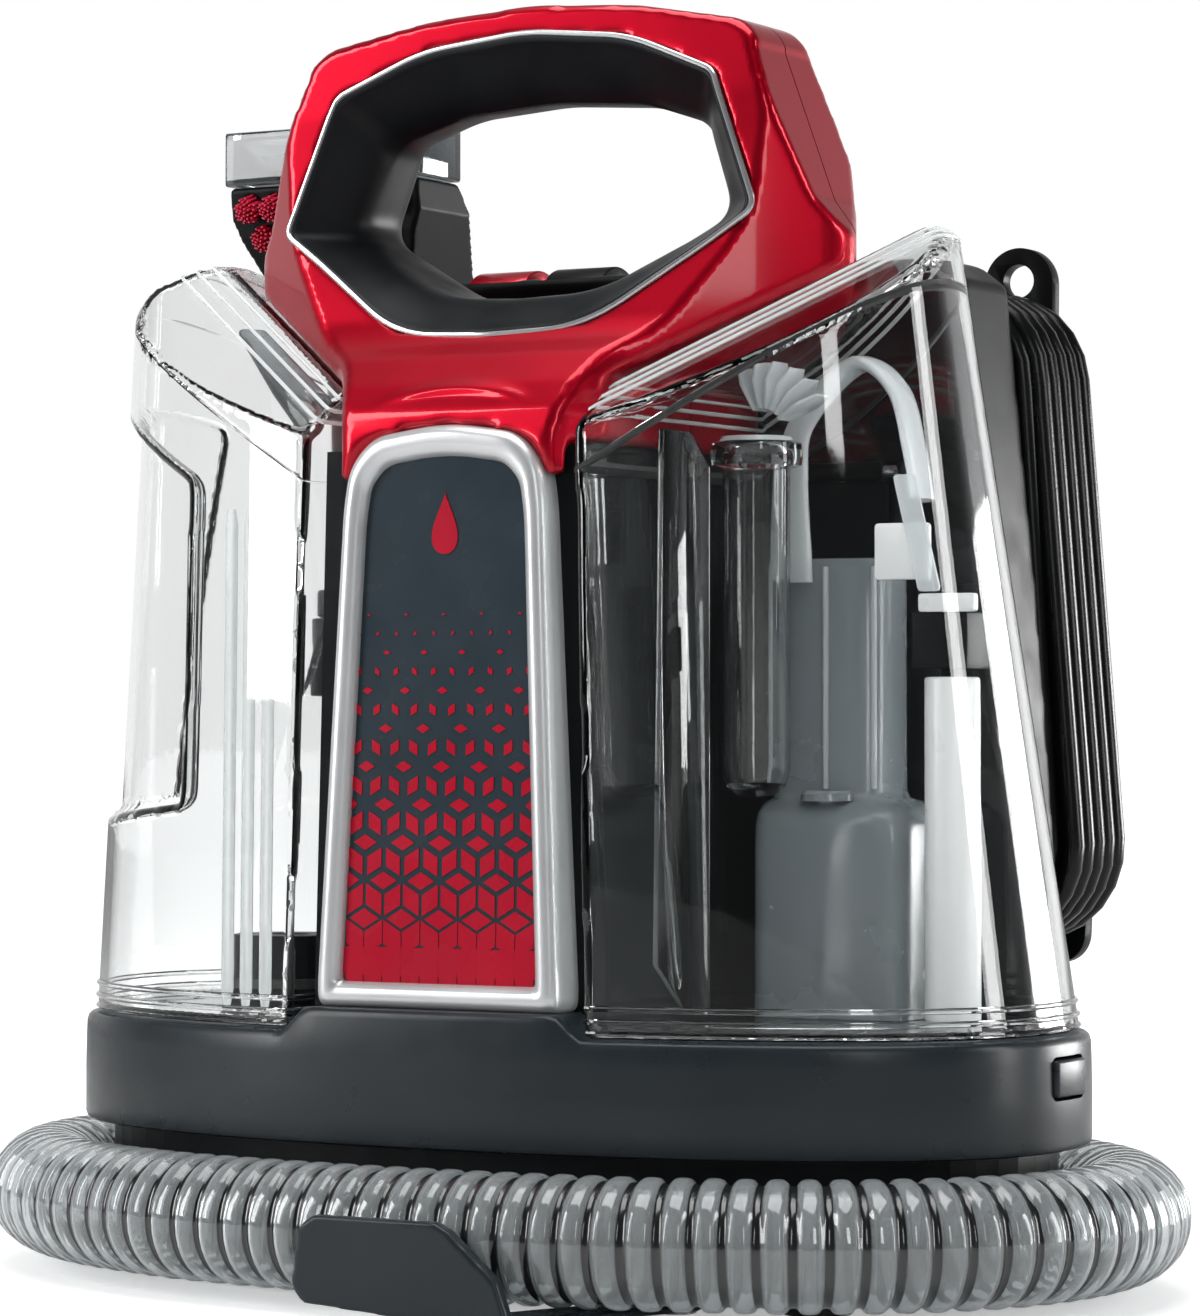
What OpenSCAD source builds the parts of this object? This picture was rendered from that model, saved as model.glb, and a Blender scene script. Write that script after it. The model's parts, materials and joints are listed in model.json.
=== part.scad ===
// Portable spot cleaner. Millimetres. X runs from the clean tank to the dirty tank,
// -Y is the front and Z is up. The origin is on the floor under the middle of the base.

/* [Base] */
// Half length of the base outline
base_a = 140; // [138:1:144]
// Half depth of the base outline
base_b = 75; // [74:1:78]
// Height of the deck that the tanks stand on
deck_z = 66; // [65:0.5:66]
// Height of the overhang above the hose
lip_z = 38; // [37:0.5:39]
// Wall thickness of the moulded housings
wall = 2.5; // [2:0.25:3]

/* [Tanks] */
// Half length of the machine across the tank feet
foot_a = 137; // [135:1:137]
// Half length of the machine across the tank shoulders
top_a = 116; // [114:1:118]
// Rear wall of both tanks
tank_back = 32; // [30:1:32]
// Wall thickness of the tanks
tank_wall = 2.2; // [2:0.1:2.5]

/* [Hose] */
// Outer diameter of the hose
hose_d = 32; // [30:1:32]

/* [Cord] */
// Diameter of the mains cord
cord_d = 6.6; // [6:0.1:6.8]
// Turns of cord side by side on the hooks
cord_rows = 6; // [5:1:6]

/* [Hidden] */

gap = 0.3;
round_n = 2.3;         // exponent of the oval outlines: 2 is an ellipse, more is squarer
outline_count = 64;
pan_a = 131;
pan_b = 72;
sill_z = 72;           // raised middle of the deck under the silver frame
seat_z = deck_z + gap; // underside of a standing tank
shoulder_z = 260;
foot_b = 72;
top_b = 50;
top_cy = -19;
seam_drop = 24;        // tank seam below the top slope
slope = 0.593;         // rise of the tank tops per millimetre outwards
core_low = 42;         // half width of the column at the deck
core_high = 37.8;      // half width of the column at the tank tops
core_back = 32.5;
tower_back = 62;
grip_x = -103;
grip_y = 72;
hook_back = 109.5;     // rear face of both cord hooks
hook_tilt = -5;
coil_at = [83, 83.5, 171];
coil_w = 52;
coil_h = 174;
coil_ring = 2 * cord_d;
valve_x = -88;
drain_x = 66;
drain_y = tank_back - 5; // axis of the drain flap's hinge
drain_z = 207;
float_at = [108, 1];    // axis of the float's guide

// Height of the tank tops at a distance from the middle.
function top_z(x) = 227 + (abs(x) - 38.5) * slope;
function blend(a, b, t) = a + (b - a) * t;
function lift(z) = (z - deck_z) / (shoulder_z - deck_z);
function spow(v, p) = sign(v) * pow(abs(v), p);
// Points of an oval outline at one height.
function oval(a, b, cy = 0, z = 0, count = outline_count) =
  [for (i = [0 : count - 1]) let (t = 360 * i / count)
    [a * spow(cos(t), 2 / round_n), cy + b * spow(sin(t), 2 / round_n), z]];
function flat(points) = [for (p = points) [p[0], p[1]]];
// Outline of the machine's upper body at one height, moved in by inset.
function body_ring(z, inset) =
  oval(blend(foot_a, top_a, lift(z)) - inset, blend(foot_b, top_b, lift(z)) - inset,
       blend(0, top_cy, lift(z)), z);
function mirror_x(points) =
  concat(points, [for (i = [len(points) - 1 : -1 : 0]) [-points[i][0], points[i][1]]]);
function arc(cx, cy, r, from, to, count) =
  [for (i = [0 : count]) let (t = from + (to - from) * i / count) [cx + r * cos(t), cy + r * sin(t)]];

// Closed solid through rings of equal length, stacked along their normal.
module loft(rings) {
  n = len(rings[0]);
  m = len(rings);
  polyhedron(
    points = [for (r = rings) each r],
    faces = concat(
      [[for (i = [0 : n - 1]) i]],
      [for (j = [0 : m - 2], i = [0 : n - 1])
        [j * n + i, (j + 1) * n + i, (j + 1) * n + (i + 1) % n, j * n + (i + 1) % n]],
      [[for (i = [n - 1 : -1 : 0]) (m - 1) * n + i]]));
}

// Upright solid with an oval outline.
module oval_block(a, b, z0, z1) {
  translate([0, 0, z0]) linear_extrude(z1 - z0) polygon(flat(oval(a, b)));
}

// Polygon in X and Z, extruded along Y.
module prism_y(points, y0, y1) {
  translate([0, y1, 0]) rotate([90, 0, 0]) linear_extrude(y1 - y0) polygon(points);
}

// Polygon in Y and Z, extruded along X.
module prism_x(points, x0, x1) {
  translate([x0, 0, 0]) rotate([90, 0, 90]) linear_extrude(x1 - x0) polygon(points);
}

module box(low, high) {
  translate(low) cube(high - low);
}

module rod_x(r, x0, x1, y, z) {
  translate([x0, y, z]) rotate([0, 90, 0]) cylinder(r = r, h = x1 - x0, $fn = 48);
}

module rod_y(r, x, y0, y1, z) {
  translate([x, y0, z]) rotate([-90, 0, 0]) cylinder(r = r, h = y1 - y0, $fn = 48);
}

module rod_z(r, x, y, z0, z1) {
  translate([x, y, z0]) cylinder(r = r, h = z1 - z0, $fn = 48);
}

// Round tube along hand-set points, one ring of sides at each point.
function unit(v) = v / norm(v);
function tangent(p, i) = unit(p[min(i + 1, len(p) - 1)] - p[max(i - 1, 0)]);
function side_of(t) = unit(cross(t, abs(t[2]) > 0.9 ? [0, 1, 0] : [0, 0, 1]));
function carried(p, i) =
  i == 0 ? side_of(tangent(p, 0))
         : let (s = carried(p, i - 1), t = tangent(p, i)) unit(s - t * (s * t));
module swept(points, d, sides) {
  loft([for (i = [0 : len(points) - 1])
    let (t = tangent(points, i), s = carried(points, i), u = cross(t, s))
    [for (k = [0 : sides - 1]) let (a = 360 * k / sides)
      points[i] + d / 2 * (s * cos(a) + u * sin(a))]]);
}

// ---- Base ----

module base_housing() {
  color("#3a464c")
  difference() {
    union() {
      oval_block(base_a, base_b, lip_z, deck_z);
      intersection() {
        oval_block(base_a - 1.5, base_b - 1.5, deck_z - 1, sill_z);
        prism_y([[-42, deck_z - 1], [42, deck_z - 1], [42, deck_z], [36, sill_z],
                 [-36, sill_z], [-42, deck_z]], -base_b, -58);
      }
    }
    oval_block(base_a - wall, base_b - wall, lip_z + wall, deck_z - wall);
    oval_block(pan_a - wall, pan_b - wall, lip_z - 1, lip_z + wall + 1);
    box([-34, -40, deck_z - wall - 1], [34, 28, deck_z + 1]);
    rod_z(7, valve_x, 0, deck_z - wall - 1, deck_z + 1);
    for (s = [-1, 1]) {
      box([s < 0 ? -base_a - 1 : base_a - 8, -9, 51], [s < 0 ? -base_a + 8 : base_a + 1, 9, 61]);
    }
  }
}

module base_plate() {
  color("#15191b")
  difference() {
    union() {
      difference() {
        oval_block(pan_a, pan_b, 5, lip_z);
        oval_block(pan_a - wall, pan_b - wall, 5 + wall, lip_z + 1);
      }
      rod_z(7, 62, -58, 5, 14);
    }
    rod_z(3, 62, -58, 4, 15);
    rod_y(14.05, -62, 55, 80, 19.5);
  }
}

module rubber_feet() {
  color("#101010")
  for (x = [-92, 92], y = [-42, 42]) rod_z(9, x, y, 0, 5);
}

module case_screws() {
  color("silver")
  for (x = [-60, 20], z = [80, 238]) rod_y(3, x, tower_back, tower_back + 1.6, z);
}

// Flat arm under the hose with an upright tab in front of it.
module hose_clip() {
  color("#4a5256")
  difference() {
    union() {
      hull() {
        rod_z(7, 62, -58, 0.9, 3.1);
        rod_z(7, 40, -104, 0.9, 3.1);
      }
      prism_y([[-14, 8], [-11, 4], [30, 0.9], [47, 0.9], [43, 12], [30, 23], [26, 25],
               [-8, 25], [-12, 22]], -112, -108);
    }
    rod_z(3.05, 62, -58, 0, 4);
  }
}

module hose_clip_pin() {
  color("silver")
  union() {
    rod_z(3, 62, -58, 0.6, 13);
    rod_z(5, 62, -58, 0.3, 0.85);
  }
}

module hose_elbow() {
  color("#15191b")
  difference() {
    union() {
      rod_y(14, -62, 61, 88, 19.5);
      rod_x(17, -78, -45, 88, 19.5);
    }
    rod_y(11, -62, 55, 88, 19.5);
    rod_x(13, -75, -44, 88, 19.5);
  }
}

hose_route = [
  [-45, 88, 19.5], [-30, 89, 19.5], [0, 90, 19.5], [25, 89, 19.5], [46, 87, 19.5],
  [65, 84, 19.5], [81, 79, 19.5], [97, 73, 19.5], [110, 66, 19.5], [122, 57, 19.5],
  [132, 47, 19.5], [140, 35, 19.5], [145, 23, 19.5], [148, 8, 19.5], [148, -8, 19.5],
  [145, -23, 19.5], [140, -35, 19.5], [132, -47, 19.5], [122, -57, 19.5], [110, -66, 19.5],
  [97, -73, 19.5], [81, -79, 19.5], [65, -84, 19.5], [46, -87, 19.5], [25, -89, 19.5],
  [0, -90, 19.5], [-25, -89, 19.5], [-46, -87, 19.5], [-65, -84, 19.5], [-81, -79, 19.5],
  [-97, -73, 19.5], [-110, -66, 19.5], [-122, -57, 19.5], [-132, -47, 19.5],
  [-140, -35, 19.5], [-145, -23, 19.5], [-148, -8, 19.5], [-149, 8, 19.5],
  [-148, 22, 20], [-145, 36, 22], [-139, 51, 28], [-131, 63, 37], [-122, 72, 49],
  [-114, 78, 63], [-108, 80, 78], [-104, 78, 94], [-103, 74, 108]
];

module hose() {
  color("#8a9296") swept(hose_route, hose_d, 12);
}

module hose_cuff() {
  color("#15191b")
  difference() {
    rod_z(17, grip_x, grip_y, 108, 118);
    rod_z(12, grip_x, grip_y, 107, 119);
  }
}

// ---- Column ----

function core_x(z) = blend(core_low, core_high, (z - deck_z) / (226 - deck_z));

module core_housing() {
  color("#20282c")
  difference() {
    prism_y(mirror_x([[core_x(deck_z), deck_z], [core_x(211), 211]]), -58, core_back);
    prism_y(mirror_x([[core_x(deck_z) - wall, deck_z - 1], [core_x(211) - wall, 211 - wall]]),
            -58 + wall, core_back - wall);
    box([-20, core_back - wall - 1, 112], [20, core_back + 1, 148]);
  }
}

frame_outer = [[34, 72.3], [34, 78], [28.5, 196], [26.5, 205], [20, 209.5], [0, 211]];
frame_inner = [[29, 78], [29, 82], [24, 194], [22.5, 200], [18, 203.5], [0, 204.5]];

// Thickness of the frame follows a front that leans back slightly.
module front_slab(points, y_low, y_high, thick) {
  intersection() {
    prism_y(mirror_x(points), -80, -50);
    prism_x([[y_low, 60], [y_high, 220], [y_high + thick, 220], [y_low + thick, 60]], -50, 50);
  }
}

module silver_frame() {
  color("silver")
  difference() {
    front_slab(frame_outer, -69.5, -65, 12);
    front_slab(frame_inner, -80, -76, 40);
    box([-50, -58, 60], [50, 0, 220]);
  }
}

module label_panel() {
  color("#8c1620")
  front_slab([for (p = frame_inner) [p[0] * 0.995, p[1] < 100 ? p[1] + 0.2 : p[1] - 0.2]],
             -67.5, -63, 3);
}

// Left edge of the rear tower at one height.
function tower_left(z) = blend(-86, -72, (z - deck_z) / (256 - deck_z));

module rear_tower() {
  color("#1a2023")
  difference() {
    intersection() {
      prism_y([[tower_left(deck_z), deck_z], [116, deck_z], [96, 256], [88, 262], [-64, 262],
               [tower_left(256), 256]], core_back + 0.5, tower_back);
      oval_block(142, 82, deck_z - 1, 270);
    }
    intersection() {
      prism_y([[tower_left(deck_z) + wall, deck_z - 1], [116 - wall, deck_z - 1], [93.5, 254],
               [87, 262 - wall], [-63, 262 - wall], [tower_left(256) + wall, 254]],
              core_back + 0.5 + wall, tower_back - wall);
      oval_block(142 - wall, 82 - wall, deck_z - 2, 270);
    }
    prism_y([[-54, 104], [34, 104], [34, 196], [-54, 196]], tower_back - wall - 1, tower_back + 1);
    box([-20, core_back, 112], [20, core_back + wall + 2, 148]);
    for (x = [-46, -22]) {
      box([x - 9.5, 38, 258], [x + 9.5, 58, 264]);
      rod_x(1.55, x - 10.6, x + 10.6, 48, 259);
    }
    rod_y(3.05, hub_at(1)[0], 50, 70, hub_at(1)[2]);
  }
}

module vent_grille() {
  color("#0d1012")
  difference() {
    box([-53.7, tower_back - wall, 104.3], [33.7, tower_back + 1.2, 195.7]);
    for (z = [110 : 8 : 186]) box([-49, tower_back - wall - 1, z], [29, tower_back + 3, z + 4]);
  }
}

// ---- Handle ----

hand_outer = concat(
  [[core_high, 211], [core_high, top_z(38.5) + 0.5], [89, top_z(89) + 0.5], [90, 260],
   [86, 265], [80, 273]],
  [[66, 311]], arc(56, 308, 11, 20, 75, 5), [[30, 324], [0, 326]]);
rim = [[0, 241], [27, 242], [68, 270], [54.5, 305], [30, 315], [0, 318]];
throat = [[0, 251], [24, 252], [55, 270.5], [46, 294], [28, 300], [0, 302]];
hand_side = [[-65, 211], [-63, 220], [-42, 241], [-32, 262], [-29, 273], [-27, 300],
             [-22, 328], [4, 328], [9, 300], [12, 273], [31, 262], [31, 211]];
hand_plan = [[0, -70], [27, -70], [38, -50], [68, -29], [89, -14], [81, 2], [62, 31], [0, 31]];

module hand_form() {
  intersection() {
    prism_y(mirror_x(hand_outer), -70, 40);
    prism_x(hand_side, -100, 100);
    translate([0, 0, 205]) linear_extrude(130) polygon(mirror_x(hand_plan));
  }
}

module hand_hollow() {
  prism_y(mirror_x(rim), -80, 60);
  intersection() {
    prism_y(mirror_x([[core_high - 3, 200], [core_high - 3, top_z(35) - 1], [74, 247.5],
                      [70, 252], [36, 229], [0, 229]]), -45, 31 - 3);
    translate([0, 0, 205]) linear_extrude(130)
      polygon(mirror_x([[0, -55], [26, -55], [36, -44], [76, -14], [56, 28], [0, 28]]));
  }
}

module handle_front() {
  color("#b3122a")
  difference() {
    intersection() {
      hand_form();
      box([-100, -80, 200], [100, -8, 340]);
    }
    hand_hollow();
  }
}

module handle_rear() {
  color("#a01026")
  difference() {
    intersection() {
      hand_form();
      box([-100, -8, 200], [100, 40, 340]);
    }
    hand_hollow();
  }
}

// Ring of points in X and Z at a depth, for a stack that runs along +Y.
function ring_y(points, depths) =
  let (p = mirror_x(points), d = concat(depths, [for (i = [len(depths) - 1 : -1 : 0]) depths[i]]),
       keep = [for (i = [0 : len(p) - 1]) if (i != len(points) && i != len(p) - 1) i])
  [for (i = [len(keep) - 1 : -1 : 0]) [p[keep[i]][0], d[keep[i]], p[keep[i]][1]]];
function grown(points, by) =
  [for (p = points) let (c = [0, 276]) [p[0] * (1 + by / 55), c[1] + (p[1] - c[1]) * (1 + by / 38)]];

module handle_grip() {
  color("#16191b")
  difference() {
    intersection() {
      prism_y(mirror_x(rim), -46, 9);
      prism_x([[-44.5, 236], [-44, 241.5], [-34, 262], [-31, 273], [-29, 300], [-25, 330],
               [5, 330], [9, 300], [9, 236]], -100, 100);
    }
    prism_y(mirror_x(throat), -60, 20);
    loft([ring_y(grown(rim, 1.5), [-47, -47, -34, -32, -31, -31]),
          ring_y(grown(throat, 0), [-22, -22, -18, -16, -16, -16])]);
    loft([ring_y(grown(throat, 0), [0, 0, 0, 0, 0, 0]),
          ring_y(grown(rim, -2), [9.5, 9.5, 9.5, 9.5, 9.5, 9.5])]);
  }
}

// ---- Drive ----

module vacuum_motor() {
  color("#9a9a98")
  difference() {
    union() {
      rod_z(30, 0, -8, 152, 200);
      rod_z(12, 0, -8, 200, 206);
    }
    rod_z(4.55, 0, -8, 150, 166);
  }
}

module fan_housing() {
  color("#30383c")
  difference() {
    rod_z(34.5, 0, -8, 112, 149);
    rod_z(32, 0, -8, 115, 146);
    rod_z(6, 0, -8, 140, 153);
    rod_z(12, 0, -8, 108, 120);
    box([-16, 20, 118], [16, 30, 142]);
  }
}

module impeller() {
  color("#d0d2d4")
  union() {
    rod_z(29, 0, -8, 120, 122);
    rod_z(4.5, 0, -8, 121, 164);
    for (i = [0 : 7])
      translate([0, -8, 0]) rotate([0, 0, 45 * i]) box([4, -1, 121.5], [28, 1, 138]);
  }
}

module air_duct() {
  color("#3c4448")
  difference() {
    box([-16, 36, 106], [96, 58, 152]);
    box([-13, 39, 109], [93, 55, 149]);
    box([-13, 30, 118], [13, 40, 142]);
    box([60, 30, 112], [90, 40, 146]);
  }
}

module pump() {
  color("#6b6f70")
  union() {
    rod_x(14, -98, -56, 20, 24);
    box([-90, 8, 7.5], [-64, 32, 12]);
    rod_z(4, -88, 0, 40, 44);
    box([-96, -4, 24], [-80, 10, 40]);
  }
}

line_route = [
  [-56, 20, 24], [-44, 20, 24], [-30, 16, 22], [-10, 6, 20], [4, 1, 20], [12, 0, 20], [19.9, 0, 20]
];
line_return = [
  [84.1, 0, 20], [90, 0, 20], [97, 7, 20], [98, 20, 20], [90, 34, 20], [70, 44, 20], [30, 48, 20],
  [-20, 50, 20], [-48, 52, 20], [-60, 58, 20], [-62, 68, 20]
];

module water_lines() {
  color("#c8d4da")
  union() {
    swept(line_route, 7, 8);
    swept(line_return, 7, 8);
    rod_z(3.5, valve_x, 0, 44, 58);
  }
}

module heater_block() {
  color("#b9b4a8")
  box([20, -18, 9], [84, 18, 34]);
}

module control_board() {
  color("#1e5a34")
  union() {
    box([-30, -52, 8], [34, -50, 44]);
    for (x = [-22, -4, 14]) box([x, -50, 14], [x + 12, -42, 30]);
  }
}

module rocker(x) {
  difference() {
    intersection() {
      box([x - 9, 38.5, 255], [x + 9, 57.5, 266]);
      rod_x(13.5, x - 9, x + 9, 48, 252);
    }
    rod_x(1.55, x - 20, x + 20, 48, 259);
  }
}

module power_switch() {
  color("#c0152c") rocker(-46);
}

module heat_switch() {
  color("#30383c") rocker(-22);
}

module switch_pins() {
  color("silver")
  for (x = [-46, -22]) rod_x(1.5, x - 10.5, x + 10.5, 48, 259);
}

// ---- Tanks ----

// Solid outer form of the right-hand tank, moved in by inset.
module tank_form(inset) {
  i = inset;
  difference() {
    intersection() {
      loft([for (z = [seat_z + i, 140, 200, 272]) body_ring(z, i)]);
      prism_y([[core_low + gap + i, seat_z + i], [150, seat_z + i], [150, 254 - i],
               [117.5 - i, 256 - i], [112 - i, 263 - i], [104 - i, top_z(104) - 1.2 * i],
               [core_high + 0.5 + i, top_z(38) - 1.2 * i]], -90, tank_back - i);
    }
    translate([39, -70, 214 - 1.17 * i])
      rotate(acos(0.851), [0.4855, -0.199, 0]) translate([-120, -120, 0]) cube([300, 300, 80]);
  }
}

// Finger recess: the part of a window that lies outside a form that is mostly shallower.
module finger_window(grow) {
  g = grow;
  difference() {
    prism_y([[82 - g, 122 - g], [80 - g, 204 + g], [125, 228 + g], [165, 228 + g],
             [165, 127 - g], [122, 118 - g]], -95, 6 + g);
    loft([for (z = [100, 180, 250])
      oval(blend(foot_a, top_a, lift(z)) - 1.8 - g, blend(foot_b, top_b, lift(z)) - 9 - g,
           blend(0, top_cy, lift(z)), z)]);
  }
}

// Space above (or below) the seam that follows the top slope.
module seam_band(low, high) {
  prism_y([[0, 227 - 38.5 * slope + low], [160, 227 + 121.5 * slope + low],
           [160, 227 + 121.5 * slope + high], [0, 227 - 38.5 * slope + high]], -95, 60);
}

module tank_shell(recess) {
  difference() {
    tank_form(0);
    difference() {
      tank_form(tank_wall);
      if (recess) finger_window(tank_wall);
    }
    if (recess) finger_window(0);
  }
}

module clean_tank() {
  color("#dfe9ec", 0.4)
  mirror([1, 0, 0])
  difference() {
    union() {
      intersection() {
        tank_shell(true);
        seam_band(-300, -seam_drop);
      }
      rod_z(19, -valve_x, 0, seat_z + 0.5, 80);
    }
    rod_z(17, -valve_x, 0, 60, 90);
  }
}

module clean_tank_top() {
  color("#dfe9ec", 0.4)
  mirror([1, 0, 0])
  intersection() {
    tank_shell(false);
    seam_band(-seam_drop, 100);
  }
}

module clean_tank_cap() {
  color("#2a3034")
  difference() {
    union() {
      rod_z(16.95, valve_x, 0, 67.5, 72);
      rod_z(14, valve_x, 0, 72, 86);
    }
    rod_z(11, valve_x, 0, 72, 83.6);
    rod_z(4.05, valve_x, 0, 60, 80);
    rod_z(5, valve_x, 0, 83, 90);
    box([valve_x - 12, -1.5, 67], [valve_x - 6, 1.5, 70]);
    box([valve_x + 6, -1.5, 67], [valve_x + 12, 1.5, 70]);
  }
}

module cap_seal() {
  color("#101010")
  difference() {
    rod_z(16.8, valve_x, 0, 72.1, 74.5);
    rod_z(14.1, valve_x, 0, 71, 76);
  }
}

module tank_valve() {
  color("white")
  union() {
    rod_z(4, valve_x, 0, 67, 76);
    rod_z(8, valve_x, 0, 72.4, 74);
  }
}

module valve_spring() {
  color("silver")
  difference() {
    rod_z(6.5, valve_x, 0, 74.1, 83.5);
    rod_z(5.5, valve_x, 0, 73, 85);
  }
}

module valve_seat() {
  color("#15191b")
  difference() {
    union() {
      rod_z(6.8, valve_x, 0, 58, 66.4);
      rod_z(10, valve_x, 0, 58, 63.4);
    }
    rod_z(3.5, valve_x, 0, 57, 70);
  }
}

module dirty_tank() {
  color("#cfd9dc", 0.4)
  difference() {
    union() {
      intersection() {
        tank_shell(false);
        seam_band(-300, -seam_drop);
      }
      for (s = [-1, 1])
        box([drain_x + s * 13 - 1, drain_y - 3, drain_z - 4],
            [drain_x + s * 13 + 1, tank_back - 1, drain_z + 3]);
    }
    box([drain_x - 9, tank_back - 6, drain_z - 20], [drain_x + 9, tank_back + 1, drain_z - 4]);
    rod_x(1.5, drain_x - 20, drain_x + 20, drain_y, drain_z);
  }
}

module dirty_tank_top() {
  color("#cfd9dc", 0.4)
  intersection() {
    tank_shell(false);
    seam_band(1.2 - seam_drop, 100);
  }
}

module tank_gasket() {
  color("#101010")
  difference() {
    intersection() {
      tank_form(0.3);
      seam_band(-seam_drop, 1.2 - seam_drop);
    }
    tank_form(tank_wall + 1);
  }
}

module inlet_tube() {
  color("#5a6468")
  difference() {
    union() {
      rod_z(8.5, 60, -12, 130, 200);
      rod_z(11.5, 60, -12, 196, 203);
    }
    rod_z(7, 60, -12, 129, 204);
  }
}

module standpipe() {
  color("#707a80")
  difference() {
    union() {
      box([54, 4, seat_z + tank_wall], [86, 27, 184]);
      box([54, -6, seat_z + tank_wall], [97, 27, 122]);
      rod_z(6, 72, -1, 122, 126);
    }
    box([57, 7, seat_z + 6], [83, 24, 186]);
  }
}

module float_guide() {
  color("white")
  difference() {
    rod_z(7, float_at[0], float_at[1], seat_z + tank_wall, 154);
    rod_z(3.1, float_at[0], float_at[1], 90, 155);
  }
}

module tank_float() {
  color("#16191b")
  union() {
    box([100, -6, 156], [115, 8, 170]);
    rod_z(3.05, float_at[0], float_at[1], 110, 157);
  }
}

module drain_flap() {
  color("#2a3034")
  difference() {
    union() {
      box([drain_x - 11, drain_y, drain_z - 22], [drain_x + 11, tank_back - 2.7, drain_z - 1]);
      rod_x(2.6, drain_x - 11, drain_x + 11, drain_y, drain_z);
    }
    rod_x(1.55, drain_x - 30, drain_x + 30, drain_y, drain_z);
  }
}

module drain_pin() {
  color("silver") rod_x(1.5, drain_x - 14, drain_x + 14, drain_y, drain_z);
}

module latch(s) {
  color("#4a5256")
  box([s < 0 ? -base_a - 0.8 : base_a - 5, -8.6, 51.4],
      [s < 0 ? -base_a + 5 : base_a + 0.8, 8.6, 60.6]);
}

module left_latch() {
  latch(-1);
}

module right_latch() {
  latch(1);
}

// ---- Cord wrap ----

// Centre of a hook's hub on the leaning axis of the coil, upper (1) or lower (-1).
function hub_at(s) = coil_at + s * (coil_h - coil_w) / 2 * [sin(hook_tilt), 0, cos(hook_tilt)];

module cord_hook_upper() {
  color("#0d1012")
  difference() {
    union() {
      rod_y(11, hub_at(1)[0], tower_back + gap, hook_back, hub_at(1)[2]);
      hull() {
        rod_y(11, hub_at(1)[0], 105, hook_back, hub_at(1)[2]);
        rod_y(10, 79, 105, hook_back, 261);
      }
      rod_y(3, hub_at(1)[0], 57, 64, hub_at(1)[2]);
      rod_y(5, hub_at(1)[0], 55, 57, hub_at(1)[2]);
    }
    rod_y(4.5, 79, 100, 112, 262);
  }
}

module cord_hook_lower() {
  color("#0d1012")
  union() {
    rod_y(11, hub_at(-1)[0], tower_back, hook_back, hub_at(-1)[2]);
    hull() {
      rod_y(11, hub_at(-1)[0], 105, hook_back, hub_at(-1)[2]);
      rod_y(8, hub_at(-1)[0] + 2, 105, hook_back, 86);
    }
  }
}

module cord_coil() {
  color("#101214")
  translate([coil_at[0], coil_at[1] + cord_rows * cord_d / 2, coil_at[2]])
  rotate([0, hook_tilt, 0]) rotate([90, 0, 0])
  linear_extrude(cord_rows * cord_d)
  difference() {
    union() {
      square([coil_w, coil_h - coil_w], center = true);
      for (s = [-1, 1]) translate([0, s * (coil_h - coil_w) / 2]) circle(r = coil_w / 2, $fn = 48);
    }
    square([coil_w - 2 * coil_ring, coil_h - coil_w], center = true);
    for (s = [-1, 1])
      translate([0, s * (coil_h - coil_w) / 2]) circle(r = coil_w / 2 - coil_ring, $fn = 48);
  }
}

lead_route = [
  [46, 84, 78], [46, 91, 78], [49, 98, 79], [57, 101, 81], [66, 101, 84.5], [75, 100.6, 88.8]
];

tail_route = [
  [50, 82, 200], [51.2, 84, 207], [54, 88.5, 215], [55.6, 93, 222], [55.3, 94, 230]
];

// Free cord from the housing to the coil, and from the coil to the plug.
module cord_lead() {
  color("#101214")
  union() {
    swept(lead_route, cord_d, 8);
    swept(tail_route, cord_d, 8);
  }
}

module strain_relief() {
  color("#101214")
  translate([46, tower_back, 78]) rotate([-90, 0, 0]) cylinder(r1 = 6.5, r2 = 4.2, h = 22, $fn = 48);
}

module plug() {
  color("#101214")
  union() {
    box([44, 70, 150], [55, 94, 184]);
    box([54, 79, 160], [57.4, 85, 174]);
    rod_z(4.2, 50, 82, 184, 200);
  }
}

module plug_blades() {
  color("silver")
  for (y = [75.5, 87]) box([47, y, 133], [52, y + 1.5, 150]);
}

// ---- Hand tool ----

module tool_cradle() {
  color("#1a2023")
  difference() {
    union() {
      rod_z(21, grip_x, grip_y, 150, 172);
      box([-92, 52, 150], [-66, 61.5, 172]);
    }
    rod_z(17, grip_x, grip_y, 140, 180);
    box([grip_x - 13, grip_y, 140], [grip_x + 13, grip_y + 40, 180]);
    prism_y([[tower_left(140), 140], [-40, 140], [-40, 180], [tower_left(180), 180]], 40, 62);
  }
}

module hose_grip() {
  color("#20282c")
  difference() {
    union() {
      rod_z(16.5, grip_x, grip_y, 118, 173);
      rod_z(19.5, grip_x, grip_y, 172.2, 180);
      rod_z(15.5, grip_x, grip_y, 180, 240);
      rod_z(12.5, grip_x, grip_y, 240, 256);
      for (s = [-1, 1])
        box([grip_x + s * 8 - 2, grip_y + 8, 222], [grip_x + s * 8 + 2, grip_y + 24, 234]);
    }
    rod_z(10, grip_x, grip_y, 117, 257);
    rod_x(1.5, grip_x - 12, grip_x + 12, grip_y + 20, 228);
  }
}

module grip_trigger() {
  color("#b3122a")
  difference() {
    union() {
      rod_x(4, grip_x - 5.5, grip_x + 5.5, grip_y + 20, 228);
      prism_x([[grip_y + 18, 226], [grip_y + 24, 228], [grip_y + 26, 206], [grip_y + 28, 190],
               [grip_y + 24, 188], [grip_y + 21, 204]], grip_x - 5.5, grip_x + 5.5);
    }
    rod_x(1.55, grip_x - 12, grip_x + 12, grip_y + 20, 228);
  }
}

module trigger_pin() {
  color("silver") rod_x(1.5, grip_x - 10, grip_x + 10, grip_y + 20, 228);
}

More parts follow.
